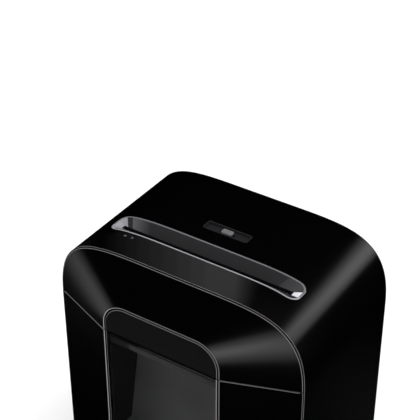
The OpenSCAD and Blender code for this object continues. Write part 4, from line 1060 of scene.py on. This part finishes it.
# The rest keep the shapes of their nodes, with their moulded, pressed or machined edges rounded;
# the widths are in millimetres
edges = {
    "rear_panel": 0.4, "base_plate": 0.4, "head_deck": 0.3, "left_frame_plate": 0.25,
    "right_frame_plate": 0.25, "gearbox_plate": 0.25, "tie_rods": 0.3, "frame_screws": 0.2,
    "shaft_bushes": 0.2, "front_stripper_comb": 0.2, "rear_stripper_comb": 0.2,
    "gearbox_standoffs": 0.2, "idler_axles": 0.2, "motor_stator": 0.4, "motor_windings": 1.2,
    "motor_drive_bracket": 0.5, "motor_rear_bracket": 0.5, "motor_brushes": 0.3, "motor_cradle": 0.4,
    "thermal_cutout": 0.3, "circuit_board": 0.1, "board_standoffs": 0.15, "board_parts": 0.3,
    "terminal_block": 0.4, "control_plate": 0.25, "selector_switch": 0.3, "sensor_switch": 0.3,
    "interlock_switch": 0.3, "case_screws": 0.3, "foot_screws": 0.3, "rear_cutter_shaft": 0.2,
    "rear_cutter_discs": 0.12, "rear_cutter_spacers": 0.12, "rear_sync_gear": 0.12, "final_gear": 0.15,
    "front_cutter_shaft": 0.2, "front_cutter_discs": 0.12, "front_cutter_spacers": 0.12,
    "front_sync_gear": 0.12, "second_gear": 0.12, "first_gear": 0.1, "motor_armature": 0.2,
    "motor_pinion": 0.08, "cooling_fan": 0.2, "selector_knob": 0.3, "sensor_flap": 0.3,
    "interlock_plunger": 0.4, "bin_tub": 0.6, "bin_glides": 0.3, "bin_screws": 0.2,
}
for node, edge in edges.items():
    remake(node, edge)


# ---- floor, light and camera ---------------------------------------------------------------
def make_floor():
    put_down()
    bpy.ops.mesh.primitive_plane_add(size=14)
    floor = bpy.context.object
    floor.name = "floor"
    material, tap, place = sheet("pale_floor")
    cloud = noise(place, 400.0, 2.0)
    colour = shades(tap, cloud, (0.94, 0.94, 0.94), (0.96, 0.96, 0.96))
    close(tap, material, Base_Color=colour, Roughness=0.9)
    floor.data.materials.append(material)
    floor.visible_glossy = False
    floor.visible_shadow = False


def lamp(name, place, turn, width, height, radiance):
    """A rectangle of light at place, in metres, that the camera doesn't see."""
    put_down()
    bpy.ops.object.light_add(type="AREA", location=place)
    box = bpy.context.object
    box.name = name
    box.rotation_euler = turn
    box.visible_camera = False
    light = box.data
    light.shape = "RECTANGLE"
    light.size, light.size_y = width, height
    light.energy = radiance * math.pi * light.size * light.size_y


def softbox(name, azimuth, elevation, distance, width, height, radiance, spread=(0.55, 1.0, 1.45)):
    """A rectangle of light that looks at the top of the shredder; sizes in degrees as seen from
    it. It is laid up from panels of growing size, so that its edges fade."""
    target = Vector((0, 0, 0.35))
    a, e = math.radians(azimuth), math.radians(elevation)
    way = Vector((math.sin(a) * math.cos(e), -math.cos(a) * math.cos(e), math.sin(e)))
    turn = way.to_track_quat("Z", "Y").to_euler()
    w, h = (2 * distance * math.tan(math.radians(size / 2)) for size in (width, height))
    for k, part in enumerate(spread):
        lamp(f"{name}_{k}", target + way * distance * (1 + 0.01 * k), turn, w * part, h * part,
             radiance / len(spread))


def bounce_card():
    """A small upright card of light over the paper entry, for the gloss in front of it; it fades
    slowly to the left and sooner to the right. Its panels hang one behind another."""
    for k in range(9):
        left, right = -0.02 * k, 0.044 + 0.0035 * k
        lamp(f"bounce_card_{k}", ((left + right) / 2, slot_y * mm + 0.0008 * k, 0.474),
             (math.radians(-90), 0, 0), right - left, 0.146, 0.09 - 0.0085 * k)


def make_light():
    world = bpy.data.worlds.new("room")
    bpy.context.scene.world = world
    world.use_nodes = True
    back = world.node_tree.nodes["Background"]
    back.inputs["Color"].default_value = (1, 1, 1, 1)
    back.inputs["Strength"].default_value = 1.17
    world.cycles_visibility.glossy = False
    # azimuth, elevation, distance in metres, width and height in degrees, radiance
    softbox("back_right", 143, 25, 1.6, 30, 20, 1.9)
    softbox("front_low", 4, -9, 0.9, 40, 16, 2.1, (0.5, 1.0, 1.9))
    softbox("left_low", -58, -19, 1.1, 19, 24, 0.72)
    softbox("side_low", 160, -47, 3.0, 12, 10, 0.03)
    softbox("right_side", 97, 2, 1.6, 40, 46, 0.55)
    softbox("left_side", -100, -2, 1.6, 32, 40, 0.26)
    softbox("overhead", 180, 76, 1.6, 60, 34, 0.5)
    bounce_card()
    bpy.context.scene.view_settings.view_transform = "Standard"


def make_camera():
    put_down()
    place, target = Vector((0.6421, -0.9833, 1.2355)), Vector((-0.0596, 0.0787, 0.3674))
    bpy.ops.object.camera_add(location=place)
    camera = bpy.context.object
    camera.name = "camera"
    camera.rotation_euler = (target - place).to_track_quat("-Z", "Y").to_euler()
    camera.data.lens = 107.97
    camera.data.sensor_width = 36
    camera.data.clip_end = 60
    bpy.context.scene.camera = camera


make_floor()
make_light()
make_camera()
